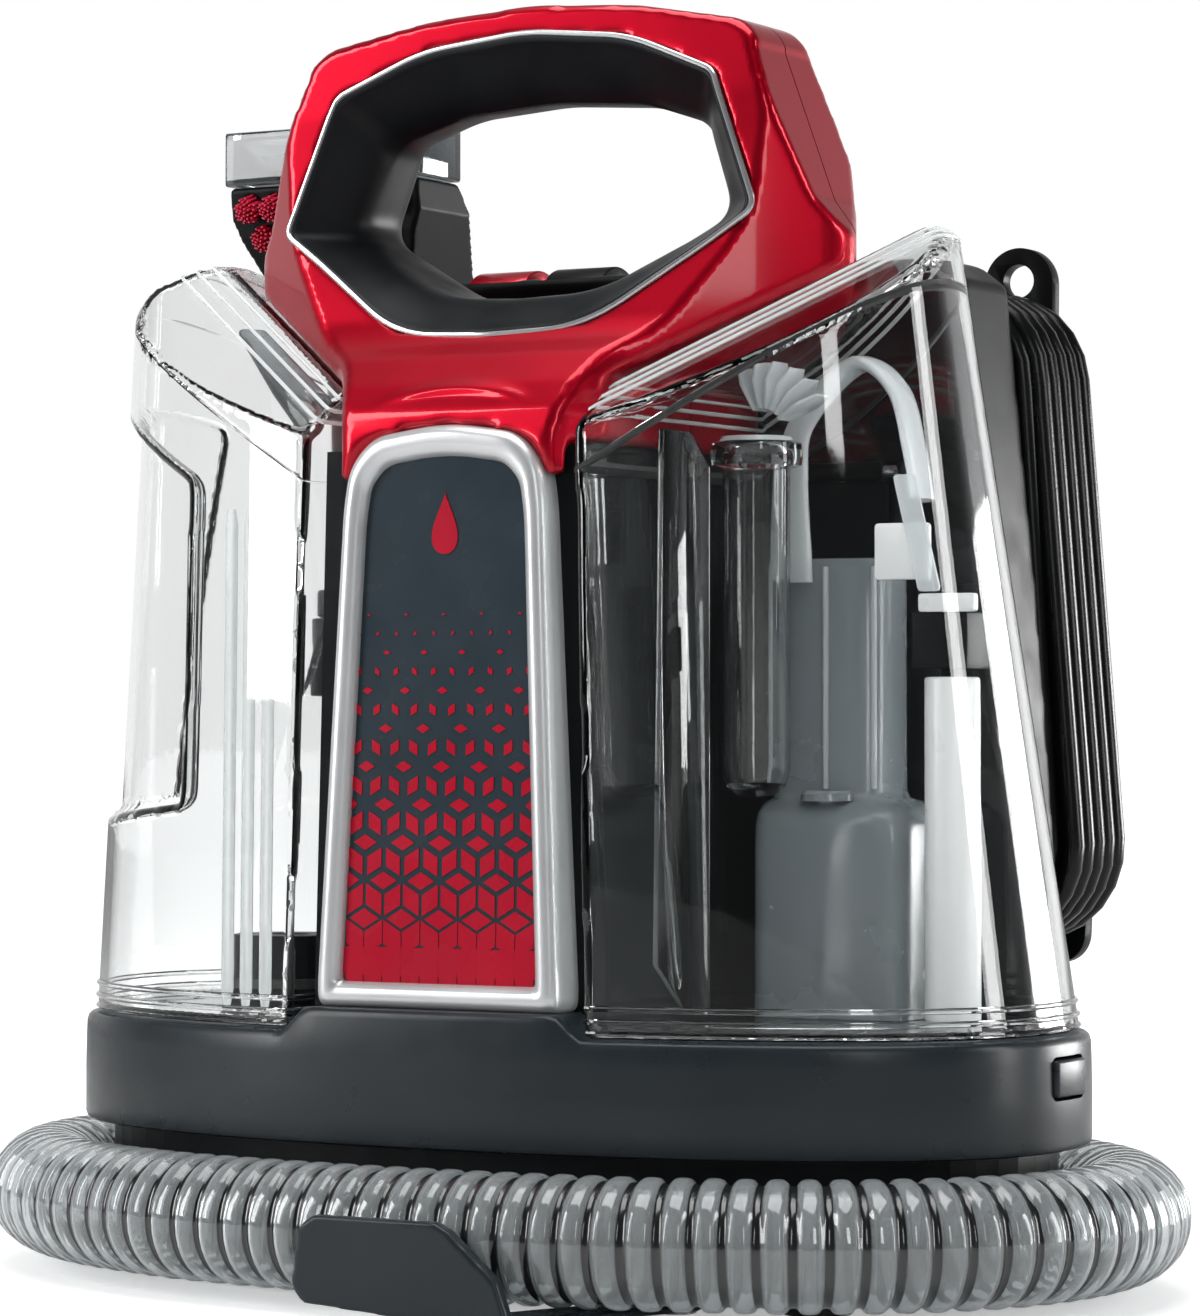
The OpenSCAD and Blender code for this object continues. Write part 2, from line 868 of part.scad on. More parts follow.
// Leaning, widening head on a round socket.
module stain_tool() {
  color("#16191b")
  difference() {
    union() {
      rod_z(16.5, grip_x, grip_y, 240.5, 262);
      intersection() {
        prism_y([[grip_x - 15, 244], [grip_x + 15, 244], [grip_x + 31, 284], [grip_x + 31, 292.5],
                 [grip_x - 31, 292.5], [grip_x - 31, 284]], 20, 100);
        prism_x([[60, 244], [85, 244], [86, 262], [62, 292.5], [40, 292.5], [42, 278], [54, 256]],
                grip_x - 40, grip_x + 40);
      }
    }
    rod_z(12.6, grip_x, grip_y, 239, 256.5);
    prism_x([[66, 250], [78, 250], [78, 260], [58, 293], [46, 293]], grip_x - 9, grip_x + 9);
    tool_brush();
  }
}

module tool_window() {
  color("#dfe9ec", 0.4)
  difference() {
    box([grip_x - 32, 39, 292.8], [grip_x + 32, 62, 308]);
    box([grip_x - 30, 41, 292], [grip_x + 30, 60, 306]);
    box([grip_x - 28, 44, 300], [grip_x + 28, 57, 309]);
  }
}

module tool_brush() {
  color("#d22a3c")
  for (row = [0, 1, 2], i = [0 : 6 - row])
    translate([grip_x + (i - (6 - row) / 2) * 8, 44.5 + row * 2.4, 288 - row * 8])
      rotate([110, 0, 0]) cylinder(r = 3, h = 9, $fn = 16);
}

base_housing();
base_plate();
rubber_feet();
case_screws();
hose_clip();
hose_clip_pin();
hose_elbow();
hose();
hose_cuff();
core_housing();
silver_frame();
label_panel();
handle_front();
handle_rear();
handle_grip();
rear_tower();
vent_grille();
vacuum_motor();
fan_housing();
impeller();
air_duct();
pump();
water_lines();
heater_block();
control_board();
power_switch();
heat_switch();
switch_pins();
clean_tank();
clean_tank_top();
clean_tank_cap();
cap_seal();
tank_valve();
valve_spring();
valve_seat();
dirty_tank();
dirty_tank_top();
tank_gasket();
inlet_tube();
standpipe();
float_guide();
tank_float();
drain_flap();
drain_pin();
left_latch();
right_latch();
cord_hook_upper();
cord_hook_lower();
cord_coil();
cord_lead();
strain_relief();
plug();
plug_blades();
tool_cradle();
hose_grip();
grip_trigger();
trigger_pin();
stain_tool();
tool_window();
tool_brush();
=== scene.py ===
import json
import math
import random

import bmesh
import bpy
from mathutils import Matrix, Vector
from mathutils.bvhtree import BVHTree


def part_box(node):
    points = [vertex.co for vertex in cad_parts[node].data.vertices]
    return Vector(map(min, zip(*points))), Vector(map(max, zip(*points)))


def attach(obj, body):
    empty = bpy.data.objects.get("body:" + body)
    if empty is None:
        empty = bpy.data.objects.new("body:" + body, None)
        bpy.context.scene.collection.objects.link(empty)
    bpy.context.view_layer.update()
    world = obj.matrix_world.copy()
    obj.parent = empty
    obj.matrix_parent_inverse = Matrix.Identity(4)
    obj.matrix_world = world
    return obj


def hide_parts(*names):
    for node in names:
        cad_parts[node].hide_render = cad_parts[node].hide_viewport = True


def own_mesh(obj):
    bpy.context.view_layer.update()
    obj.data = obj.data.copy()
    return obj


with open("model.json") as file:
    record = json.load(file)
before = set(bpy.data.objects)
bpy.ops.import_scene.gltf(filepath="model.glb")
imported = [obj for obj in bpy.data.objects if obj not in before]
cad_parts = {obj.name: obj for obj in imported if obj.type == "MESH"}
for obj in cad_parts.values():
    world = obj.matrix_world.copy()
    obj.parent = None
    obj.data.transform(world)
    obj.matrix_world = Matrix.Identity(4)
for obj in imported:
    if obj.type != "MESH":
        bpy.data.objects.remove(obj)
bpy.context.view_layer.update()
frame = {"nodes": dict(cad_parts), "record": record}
random.seed(7)

MM = 0.001
scene = bpy.context.scene

# Numbers shared with part.scad, in millimetres.
DECK = 66.0  # top of the base, where the oval body starts
SILL = 72.0  # top of the deck's raised middle
LIP = 38.0  # underside of the base's overhang
SEAT = 66.3  # underside of the tanks
SHOULDER = 260.0  # height that TOP is measured at
FOOT = (137.0, 72.0)  # half length and half depth of the body at the deck
TOP = (116.0, 50.0)  # the same at the shoulder
TOP_CY = -19.0  # how far the body leans forward at the shoulder
ROUND_N = 2.3  # exponent of the body's oval
SLOPE = 0.593  # rise of the tanks' tops, outwards
CREST = (38.5, 227.0)  # inner end of that slope, across and up
TANK_BACK = 32.0
TANK_WALL = 2.2
CORE_LOW = 42.0  # half width of the column at the deck
CORE_HIGH = 37.8  # the same at the tanks' tops
TOOL_X = -103.0
HAND_SPLIT = -8.0  # depth of the seam between the handle's shells


# ------------ camera and lights

camera = bpy.data.objects.new("camera", bpy.data.cameras.new("camera"))
scene.collection.objects.link(camera)
camera.location = (0.604, -1.057, 0.1443)
aim = Vector((0.0045, 0.0065, 0.1594)) - camera.location
camera.rotation_euler = aim.to_track_quat("-Z", "Y").to_euler()
camera.data.lens = 128.5
camera.data.sensor_width = 36
camera.data.clip_start = 0.05
scene.camera = camera


def area_light(name, at, look_at, size, power):
    light = bpy.data.lights.new(name, "AREA")
    light.shape = "RECTANGLE"
    light.size, light.size_y = size
    light.energy = power
    obj = bpy.data.objects.new(name, light)
    scene.collection.objects.link(obj)
    obj.location = at
    direction = Vector(look_at) - Vector(at)
    obj.rotation_euler = direction.to_track_quat("-Z", "Y").to_euler()
    return obj


area_light("key_left", (-1.2, -1.1, 0.8), (0, 0, 0.15), (0.45, 1.3), 21)
area_light("top_box", (0.0, -0.1, 1.5), (0, 0, 0.1), (1.2, 1.0), 19)
area_light("rim_right", (1.5, 0.35, 0.5), (0, 0, 0.15), (0.3, 1.3), 12)
area_light("front_strip", (1.3, -1.5, 0.9), (0, 0, 0.12), (0.25, 1.0), 6)
card = area_light("reflector_right", (0.8, 1.25, 0.14), (0, 0, 0.14), (0.5, 0.5), 15)
card.visible_diffuse = False


# ------------ shader helpers

def feed(nt, node, inputs):
    """Sets inputs of a node, each to a fixed value or to another node's output."""
    for key, value in inputs.items():
        if isinstance(value, bpy.types.NodeSocket):
            nt.links.new(value, node.inputs[key])
        else:
            node.inputs[key].default_value = value


def add_node(nt, kind, inputs=None, **settings):
    node = nt.nodes.new("ShaderNode" + kind)
    for name, value in settings.items():
        setattr(node, name, value)
    feed(nt, node, inputs or {})
    return node


def maths(nt, operation, first, second):
    return add_node(nt, "Math", {0: first, 1: second}, operation=operation).outputs[0]


def ramp(nt, fac, stops):
    """Colour ramp through stops of position and colour."""
    node = add_node(nt, "ValToRGB", {"Fac": fac})
    elements = node.color_ramp.elements
    for element, (position, colour) in zip(elements, (stops[0], stops[-1])):
        element.position = position
        element.color = (*colour, 1)
    for position, colour in stops[1:-1]:
        elements.new(position).color = (*colour, 1)
    return node.outputs["Color"]


def noise(nt, scale, detail=4.0, stretch=None):
    place = add_node(nt, "TexCoord").outputs["Object"]
    if stretch:
        place = add_node(nt, "Mapping", {"Vector": place, "Scale": stretch}).outputs[0]
    texture = add_node(nt, "TexNoise", {"Vector": place, "Scale": scale, "Detail": detail})
    return texture.outputs["Fac"]


def mapped(nt, value, low, high, start=0.3, end=0.7):
    """The value's range from start to end, made to run from low to high."""
    limits = {"From Min": start, "From Max": end, "To Min": low, "To Max": high}
    return add_node(nt, "MapRange", {"Value": value, **limits}).outputs["Result"]


def bumped(nt, height, strength, depth):
    bump = add_node(nt, "Bump", {"Height": height, "Strength": strength, "Distance": depth})
    return bump.outputs[0]


def seen_straight(nt):
    """1 for rays from the camera, and for those that went through clear walls on the way."""
    path = add_node(nt, "LightPath").outputs
    unreflected = maths(nt, "LESS_THAN", path["Glossy Depth"], 0.5)
    through = maths(nt, "MULTIPLY", path["Is Transmission Ray"], unreflected)
    return maths(nt, "MAXIMUM", path["Is Camera Ray"], through)


def studio_world():
    """White where the camera or a see-through ray looks; a dim studio with a bright back wall
    for everything that is reflected."""
    world = bpy.data.worlds.new("studio")
    scene.world = world
    world.use_nodes = True
    nt = world.node_tree
    nt.nodes.clear()
    toward = add_node(nt, "TexCoord").outputs["Generated"]
    facing = add_node(nt, "VectorMath", {0: toward, 1: (-0.25, 0.43, 0.0)},
                      operation="DOT_PRODUCT")
    backwards = maths(nt, "ADD", facing.outputs["Value"], 0.5)
    greys = ((0.42, 0.05), (0.62, 0.12), (0.78, 0.75))
    steps = [(at, (grey, grey, grey * 1.02)) for at, grey in greys]
    wall = ramp(nt, backwards, [(0.0, (0.07, 0.072, 0.075))] + steps + [(1.0, (1, 1, 1))])
    upwards = add_node(nt, "SeparateXYZ", {0: toward}).outputs["Z"]
    levels = ((0.0, 1.0), (0.28, 0.9), (0.5, 0.3), (0.75, 0.3), (1.0, 0.7))
    level = ramp(nt, upwards, [(at, (grey, grey, grey)) for at, grey in levels])
    product = add_node(nt, "Mix", {"Factor": 1.0, "A": wall, "B": level}, data_type="RGBA",
                       blend_type="MULTIPLY")
    shade = add_node(nt, "Background", {"Color": product.outputs["Result"], "Strength": 1.0})
    white = add_node(nt, "Background", {"Color": (1, 1, 1, 1), "Strength": 1.0})
    mix = add_node(nt, "MixShader", {0: seen_straight(nt), 1: shade.outputs[0],
                                     2: white.outputs[0]})
    add_node(nt, "OutputWorld", {"Surface": mix.outputs[0]})


studio_world()
scene.view_settings.view_transform = "Standard"


# ------------ materials

def new_material(name):
    material = bpy.data.materials.new(name)
    material.use_nodes = True
    nt = material.node_tree
    return material, nt, nt.nodes["Principled BSDF"]


def moulded(name, colour, rough, vary=0.15, grain=900, bump=0.06, metallic=0.0, coat=0.0,
            coat_rough=0.05, spec=0.5, mottle=28, stretch=None):
    """Opaque moulded or metal surface: mottled colour, uneven gloss and a fine surface grain."""
    material, nt, shader = new_material(name)
    low = [c * (1 - vary) for c in colour]
    high = [min(1, c * (1 + vary)) for c in colour]
    gloss = noise(nt, mottle * 3, 6, stretch)
    feed(nt, shader, {
        "Base Color": ramp(nt, noise(nt, mottle, 5), [(0.3, low), (0.7, high)]),
        "Roughness": mapped(nt, gloss, rough * 0.85, min(1, rough * 1.2)),
        "Metallic": metallic,
        "Specular IOR Level": spec,
        "Coat Weight": coat,
        "Coat Roughness": coat_rough,
    })
    if bump:
        feed(nt, shader, {"Normal": bumped(nt, noise(nt, grain, 3, stretch), bump, 0.0004)})
    return material


def clear_plastic(name, tint, rough=0.02, haze=0.0, ripple=0.02):
    """Clear or smoked moulding. Lamps shine through it, so what stands behind stays lit."""
    material, nt, shader = new_material(name)
    low = [c * 0.97 for c in tint]
    feed(nt, shader, {
        "Base Color": ramp(nt, noise(nt, 14), [(0.3, low), (0.7, tint)]),
        "Roughness": mapped(nt, noise(nt, 40, 5), rough, rough * 2.2 + 0.01),
        "IOR": 1.46,
        "Transmission Weight": 1.0 - haze,
        "Normal": bumped(nt, noise(nt, 45, 2), ripple, 0.002),
    })
    through = add_node(nt, "BsdfTransparent", {"Color": (*[0.35 + 0.6 * c for c in tint], 1)})
    shadow = add_node(nt, "LightPath").outputs["Is Shadow Ray"]
    mix = add_node(nt, "MixShader", {0: shadow, 1: shader.outputs[0], 2: through.outputs[0]})
    feed(nt, nt.nodes["Material Output"], {"Surface": mix.outputs[0]})
    return material


SLATE = moulded("slate_satin", (0.014, 0.019, 0.023), 0.30, grain=1500, bump=0.04, spec=0.28)
BLACK = moulded("black_satin", (0.0052, 0.0058, 0.0064), 0.34, grain=1300, bump=0.06, spec=0.08)
SOFT = moulded("soft_touch", (0.0055, 0.0065, 0.0080), 0.40, grain=2200, bump=0.08, spec=0.2)
RED = moulded("metallic_red", (0.37, 0.0005, 0.012), 0.33, vary=0.05, grain=5200, bump=0.010,
              metallic=0.7, coat=0.4, coat_rough=0.05, spec=0.1, mottle=9)
# Light grey glossy bead for the handle loop's rim: its bright colour is painted highlight, the line
# that light draws along the rim's edge.
RIM_HIGHLIGHT = moulded("painted_highlight_lip", (0.46, 0.47, 0.48), 0.22, vary=0.04, grain=2600, bump=0.02,
               metallic=0.7, coat=0.4, mottle=20)
SILVER = moulded("satin_silver", (0.56, 0.57, 0.58), 0.33, vary=0.04, grain=2600, bump=0.02,
                 metallic=0.55, coat=0.5, coat_rough=0.12, mottle=14)
RUBBER = moulded("matt_rubber", (0.014, 0.014, 0.015), 0.7, grain=1800, bump=0.15)
CORD = moulded("cord_jacket", (0.0030, 0.0033, 0.0036), 0.25, grain=1600, bump=0.05, spec=0.2)
WHITE = moulded("white_moulding", (0.52, 0.53, 0.53), 0.3, vary=0.04, bump=0.04, mottle=12)
STEEL = moulded("steel", (0.55, 0.56, 0.57), 0.28, vary=0.1, metallic=1.0, bump=0.06,
                stretch=(1, 1, 14))
MOTOR = moulded("motor_can", (0.42, 0.43, 0.44), 0.42, vary=0.15, metallic=0.9, bump=0.12)
BRASS = moulded("plated_blades", (0.62, 0.47, 0.24), 0.3, vary=0.1, metallic=1.0, bump=0.05)
BOARD = moulded("circuit_board", (0.015, 0.13, 0.045), 0.4, vary=0.3, grain=700, bump=0.2)
BRISTLE = moulded("red_bristles", (0.62, 0.018, 0.07), 0.4, vary=0.25, grain=2600, bump=0.3,
                  mottle=300, stretch=(1, 1, 0.1))
CLEAR = clear_plastic("clear_moulding", (0.965, 0.975, 0.975), rough=0.01, ripple=0.006)
SMOKE = clear_plastic("smoked_moulding", (0.17, 0.195, 0.205), rough=0.14, haze=0.72, ripple=0.0)
MILKY = clear_plastic("milky_moulding", (0.72, 0.75, 0.76), rough=0.08, haze=0.35, ripple=0.0)
# Hazy near-white plastic; on the crown's lip beads its colour paints the highlight that the top
# light puts on the crown's rounded edge.
FROST = clear_plastic("frosted_highlight_lip", (0.86, 0.88, 0.88), rough=0.12, haze=0.36, ripple=0.0)
GREY_CLEAR = clear_plastic("grey_clear", (0.20, 0.22, 0.23), rough=0.02, haze=0.05)
HOSE_CLEAR = clear_plastic("hose_wall", (0.66, 0.69, 0.70), rough=0.04, haze=0.14)
HOSE_RIDGE = moulded("hose_ridge", (0.010, 0.011, 0.012), 0.2, bump=0.04, coat=0.4)
LABEL_DARK = moulded("label_ground", (0.022, 0.034, 0.043), 0.24, vary=0.08, bump=0.02, coat=0.2,
                     spec=0.15)
LABEL_RED = moulded("label_print", (0.40, 0.003, 0.020), 0.26, vary=0.1, bump=0.02, coat=0.2,
                    spec=0.15)
TUBE = moulded("silicone_tube", (0.52, 0.58, 0.60), 0.4, vary=0.06, bump=0.05)

SLOT_OF = {m["node"]: m["material_slot"] for m in frame["record"]["subparts"]}
FINISH = {
    "slate": SLATE, "black": BLACK, "soft_grip": SOFT, "red": RED, "silver": SILVER,
    "label": LABEL_DARK, "clear": CLEAR, "smoke": SMOKE, "hose_clear": HOSE_CLEAR,
    "rubber": RUBBER, "white": WHITE, "steel": STEEL, "motor": MOTOR, "brass": BRASS,
    "board": BOARD, "bristle": BRISTLE, "cord": CORD, "tube": TUBE,
}
for node, obj in frame["nodes"].items():
    obj.data.materials.clear()
    obj.data.materials.append(FINISH[SLOT_OF[node]])


# ------------ mesh helpers (millimetres in)

def new_object(name, mesh):
    obj = bpy.data.objects.new(name, mesh)
    scene.collection.objects.link(obj)
    return obj


def from_lists(name, points, faces):
    mesh = bpy.data.meshes.new(name)
    mesh.from_pydata([[c * MM for c in p] for p in points], [], faces)
    mesh.update()
    bm = bmesh.new()
    bm.from_mesh(mesh)
    bmesh.ops.recalc_face_normals(bm, faces=bm.faces)
    bm.to_mesh(mesh)
    bm.free()
    return new_object(name, mesh)


def loft(name, rings, cap=True, loop=False):
    """Skin through rings of equal point count; loop joins the last ring to the first."""
    n = len(rings[0])
    m = len(rings)
    points = [p for ring in rings for p in ring]
    faces = []
    for j in range(m if loop else m - 1):
        k = (j + 1) % m
        for i in range(n):
            h = (i + 1) % n
            faces.append((j * n + i, j * n + h, k * n + h, k * n + i))
    if cap and not loop:
        faces.append(tuple(range(n)))
        faces.append(tuple(range((m - 1) * n, m * n)))
    return from_lists(name, points, faces)


def tidy(points, least=0.05):
    """The outline without points that fall on their neighbour."""
    out = []
    for p in points:
        if not out or (Vector(p) - Vector(out[-1])).length > least:
            out.append(p)
    if (Vector(out[0]) - Vector(out[-1])).length <= least:
        out.pop()
    return out


def prism(name, outline, axis, low, high):
    """Outline of two coordinates, extruded along x, y or z between low and high."""
    place = {"x": lambda p, t: (t, p[0], p[1]), "y": lambda p, t: (p[0], t, p[1]),
             "z": lambda p, t: (p[0], p[1], t)}[axis]
    return loft(name, [[place(p, low) for p in outline], [place(p, high) for p in outline]])


def rect(x0, y0, x1, y1):
    return [(x0, y0), (x1, y0), (x1, y1), (x0, y1)]


def mirrored(half, radii):
    """Half outline with x at or above 0 and its corner radii, both completed to the left."""
    back = [(-p[0], p[1], r) for p, r in zip(half, radii) if p[0] > 1e-6][::-1]
    return half + [(x, z) for x, z, _ in back], radii + [r for _, _, r in back]


def rounded(points, radius, steps=5):
    """Closed outline with every corner rounded; radius is one number or one per corner."""
    n = len(points)
    radii = radius if isinstance(radius, (list, tuple)) else [radius] * n
    out = []
    for i, corner in enumerate(points):
        here = Vector(corner)
        back = Vector(points[i - 1]) - here
        ahead = Vector(points[(i + 1) % n]) - here
        turn = back.angle(ahead)
        if radii[i] <= 0 or turn > math.radians(178):
            out += [tuple(here)] * (steps + 1)
            continue
        reach = min(radii[i] / math.tan(turn / 2), back.length * 0.48, ahead.length * 0.48)
        start = here + back.normalized() * reach
        end = here + ahead.normalized() * reach
        for k in range(steps + 1):
            t = k / steps
            out.append(tuple(start * (1 - t) ** 2 + here * 2 * t * (1 - t) + end * t ** 2))
    return out


def spaced(line, count):
    """Evenly spaced points along an open line of points, its two ends included."""
    walked = [0.0]
    for a, b in zip(line, line[1:]):
        walked.append(walked[-1] + (b - a).length)
    out = []
    k = 0
    for i in range(count + 1):
        goal = walked[-1] * i / count
        while k < len(walked) - 2 and walked[k + 1] < goal:
            k += 1
        span = walked[k + 1] - walked[k]
        out.append(line[k].lerp(line[k + 1], (goal - walked[k]) / span if span else 0))
    return out


def matched(half, radii):
    """Whole rounded outline with as many points at each corner and on each side, so that two
    outlines with the same number of corners can be skinned together."""
    steps = 8
    per = steps + 1
    points, both = mirrored(half, radii)
    curve = rounded(points, both, steps)
    out = []
    for i in range(len(points)):
        corner = curve[i * per:(i + 1) * per]
        following = Vector(curve[((i + 1) * per) % len(curve)])
        out += corner
        last = Vector(corner[-1])
        out += [tuple(last.lerp(following, k / per)) for k in range(1, per)]
    return out


def power(value, exponent):
    return math.copysign(abs(value) ** exponent, value)


def oval(a, b, cy, z, count):
    turns = [2 * math.pi * i / count for i in range(count)]
    return [(a * power(math.cos(t), 2 / ROUND_N), cy + b * power(math.sin(t), 2 / ROUND_N), z)
            for t in turns]


def body_size(z):
    """Half length and half depth of the tapering body at a height, and its middle's depth."""
    t = (z - DECK) / (SHOULDER - DECK)
    return FOOT[0] + (TOP[0] - FOOT[0]) * t, FOOT[1] + (TOP[1] - FOOT[1]) * t, TOP_CY * t


def body_ring(z, end_inset=0.0, front_inset=0.0):
    a, b, cy = body_size(z)
    return oval(a - end_inset, b - front_inset, cy, z, 640)


def top_z(x):
    return CREST[1] + (abs(x) - CREST[0]) * SLOPE


def bake(obj):
    """Applies the object's modifiers."""
    bpy.context.view_layer.update()
    shape = obj.evaluated_get(bpy.context.evaluated_depsgraph_get())
    mesh = bpy.data.meshes.new_from_object(shape)
    obj.modifiers.clear()
    obj.data = mesh
    return obj


def combine(obj, other, operation="DIFFERENCE"):
    cut = obj.modifiers.new("cut", "BOOLEAN")
    cut.operation = operation
    cut.object = other
    cut.solver = "EXACT"
    bake(obj)
    bpy.data.objects.remove(other)


def soften(obj, voxel, rounds):
    """Remeshes and smooths the solid, which rounds every edge like a moulding, then puts the
    surface back where it was except at its edges."""
    model = copy_of(obj, "model")
    remesh = obj.modifiers.new("remesh", "REMESH")
    remesh.mode = "VOXEL"
    remesh.voxel_size = voxel * MM
    smooth = obj.modifiers.new("smooth", "SMOOTH")
    smooth.factor = 0.5
    smooth.iterations = rounds
    bake(obj)
    near, far = 0.16, 0.5
    tree = BVHTree.FromObject(model, bpy.context.evaluated_depsgraph_get())
    for v in obj.data.vertices:
        spot, _, _, gap = tree.find_nearest(v.co)
        weight = min(1.0, max(0.0, (far - gap / MM) / (far - near)))
        v.co = v.co.lerp(spot, weight)
    bpy.data.objects.remove(model)


def bevelled(obj, width, segments=2):
    edge = obj.modifiers.new("bevel", "BEVEL")
    edge.width = width * MM
    edge.segments = segments
    edge.limit_method = "ANGLE"
    edge.angle_limit = math.radians(28)
    return bake(obj)


def slice_off(obj, point, normal, fill=True):
    """Removes what lies on the normal's side of a plane."""
    bm = bmesh.new()
    bm.from_mesh(obj.data)
    parts = bm.verts[:] + bm.edges[:] + bm.faces[:]
    cut = bmesh.ops.bisect_plane(bm, geom=parts, plane_co=[c * MM for c in point],
                                 plane_no=normal, clear_outer=True)
    if fill:
        edges = [e for e in cut["geom_cut"] if isinstance(e, bmesh.types.BMEdge)]
        bmesh.ops.triangle_fill(bm, edges=edges, use_beauty=True)
        bmesh.ops.recalc_face_normals(bm, faces=bm.faces)
    bm.to_mesh(obj.data)
    bm.free()


def copy_of(obj, name):
    return new_object(name, obj.data.copy())


def shell(obj, thickness, offset=-1):
    wall = obj.modifiers.new("wall", "SOLIDIFY")
    wall.thickness = thickness * MM
    wall.offset = offset
    return bake(obj)


def mirror_mesh(obj):
    obj.data.transform(Matrix.Scale(-1, 4, (1, 0, 0)))
    obj.data.flip_normals()
    return obj


def finish_piece(obj, material, body, slot, replaces=(), angle=35):
    """Material, shading, body and the CAD nodes that the piece stands for. The slot argument is not
    used.
    """
    obj.data.materials.clear()
    obj.data.materials.append(material)
    obj.data.shade_smooth()
    obj.data.set_sharp_from_angle(angle=math.radians(angle))
    if replaces:
        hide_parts(*replaces)
    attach(obj, body)
    return obj


def finish_node(obj, node, material=None, angle=35):
    """Finishes the piece that stands for one CAD node, with that node's body and slot."""
    slot = SLOT_OF[node]
    bodies = frame["record"]["behaviour"]["bodies"]
    body = next(name for name, members in bodies.items() if node in members)
    return finish_piece(obj, material or FINISH[slot], body, slot, [node], angle)


def dressed(node, width, segments=3, material=None):
    """The CAD node's own shape with its sharp edges rounded like a moulding."""
    bm = bmesh.new()
    bm.from_mesh(frame["nodes"][node].data)
    bmesh.ops.remove_doubles(bm, verts=bm.verts, dist=0.02 * MM)
    bmesh.ops.dissolve_limit(bm, angle_limit=math.radians(0.5), verts=bm.verts, edges=bm.edges)
    mesh = bpy.data.meshes.new(node + "_piece")
    bm.to_mesh(mesh)
    bm.free()
    obj = new_object(node + "_piece", mesh)
    bevelled(obj, width, segments)
    return finish_node(obj, node, material)


def softened(node, voxel, rounds, cuts=()):
    """The CAD node's own shape with every edge rounded over, less the given closed forms."""
    obj = new_object(node + "_piece", frame["nodes"][node].data.copy())
    soften(obj, voxel, rounds)
    for cut in cuts:
        combine(obj, cut)
    return finish_node(obj, node, angle=60)


def plate(name, outline, axis, low, high, edge, *finish):
    """Flat plate with its edges rounded, and finished."""
    return finish_piece(bevelled(prism(name, outline, axis, low, high), edge), *finish)


def tube_along(name, path, radius_at, sides, close=False):
    """Round skin along a path of points; radius_at gives the radius at each point's number."""
    points = [Vector(p) for p in path]
    n = len(points)
    tangents = []
    for i in range(n):
        if close:
            step = points[(i + 1) % n] - points[i - 1]
        else:
            step = points[min(i + 1, n - 1)] - points[max(i - 1, 0)]
        tangents.append(step.normalized())
    side = tangents[0].orthogonal().normalized()
    rings = []
    for i in range(n):
        side = (side - tangents[i] * side.dot(tangents[i])).normalized()
        up = tangents[i].cross(side)
        r = radius_at(i)
        rings.append([tuple(points[i] + side * (r * math.cos(a)) + up * (r * math.sin(a)))
                      for a in [2 * math.pi * k / sides for k in range(sides)]])
    return loft(name, rings, cap=not close, loop=close)


def spline(points, step):
    """Evenly spaced points on a smooth curve through the given ones."""
    p = [Vector(q) for q in points]
    p = [p[0] * 2 - p[1]] + p + [p[-1] * 2 - p[-2]]
    dense = []
    for a, b, c, d in zip(p, p[1:], p[2:], p[3:]):
        for k in range(24):
            t = k / 24
            dense.append(0.5 * (2 * b + (c - a) * t + (2 * a - 5 * b + 4 * c - d) * t ** 2
                                + (3 * b - a - 3 * c + d) * t ** 3))
    dense.append(p[-2])
    return spaced(dense, max(2, round(path_length(dense) / step)))


def path_length(points):
    return sum((Vector(b) - Vector(a)).length for a, b in zip(points, points[1:]))


# ------------ cords

def relief():
    """Tapered boot with rings of slots where the cord leaves the tower."""
    low, high = (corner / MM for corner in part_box("strain_relief"))
    x, z = (low.x + high.x) / 2, (low.z + high.z) / 2
    count = 66
    wide, narrow, groove = 6.5, 4.2, 0.7
    path = [(x, low.y + (high.y - low.y) * i / count, z) for i in range(count + 1)]

    def radius(i):
        base = wide + (narrow - wide) * i / count
        return base - (groove if i % 9 in (5, 6, 7) and 8 < i < 60 else 0)
    boot = tube_along("cord_boot", path, radius, 32)
    return finish_node(boot, "strain_relief", angle=50)


boot = relief()
plug = dressed("plug", 1.8, 3)
blades = dressed("plug_blades", 0.35, 2)
cuff = dressed("hose_cuff", 1.2)

HOSE_LEVEL = 19.5
QUARTER = [(25, 89), (46, 87), (65, 84), (81, 79), (97, 73), (110, 66), (122, 57), (132, 47),
           (140, 35), (145, 23), (148, 8)]
LAID = ([(-45, 88), (-30, 89), (0, 90)] + QUARTER + [(x, -y) for x, y in reversed(QUARTER)]
        + [(0, -90)] + [(-x, -y) for x, y in QUARTER] + [(-149, 8)])
RISING = [(-148, 22, 20), (-145, 36, 22), (-139, 51, 28), (-131, 63, 37), (-122, 72, 49),
          (-114, 78, 63), (-108, 80, 78), (-104, 78, 94), (-103, 74, 108)]
HOSE_ROUTE = [(x, y, HOSE_LEVEL) for x, y in LAID] + RISING
HOSE_R = 16.0
HOSE_PITCH = 7.5


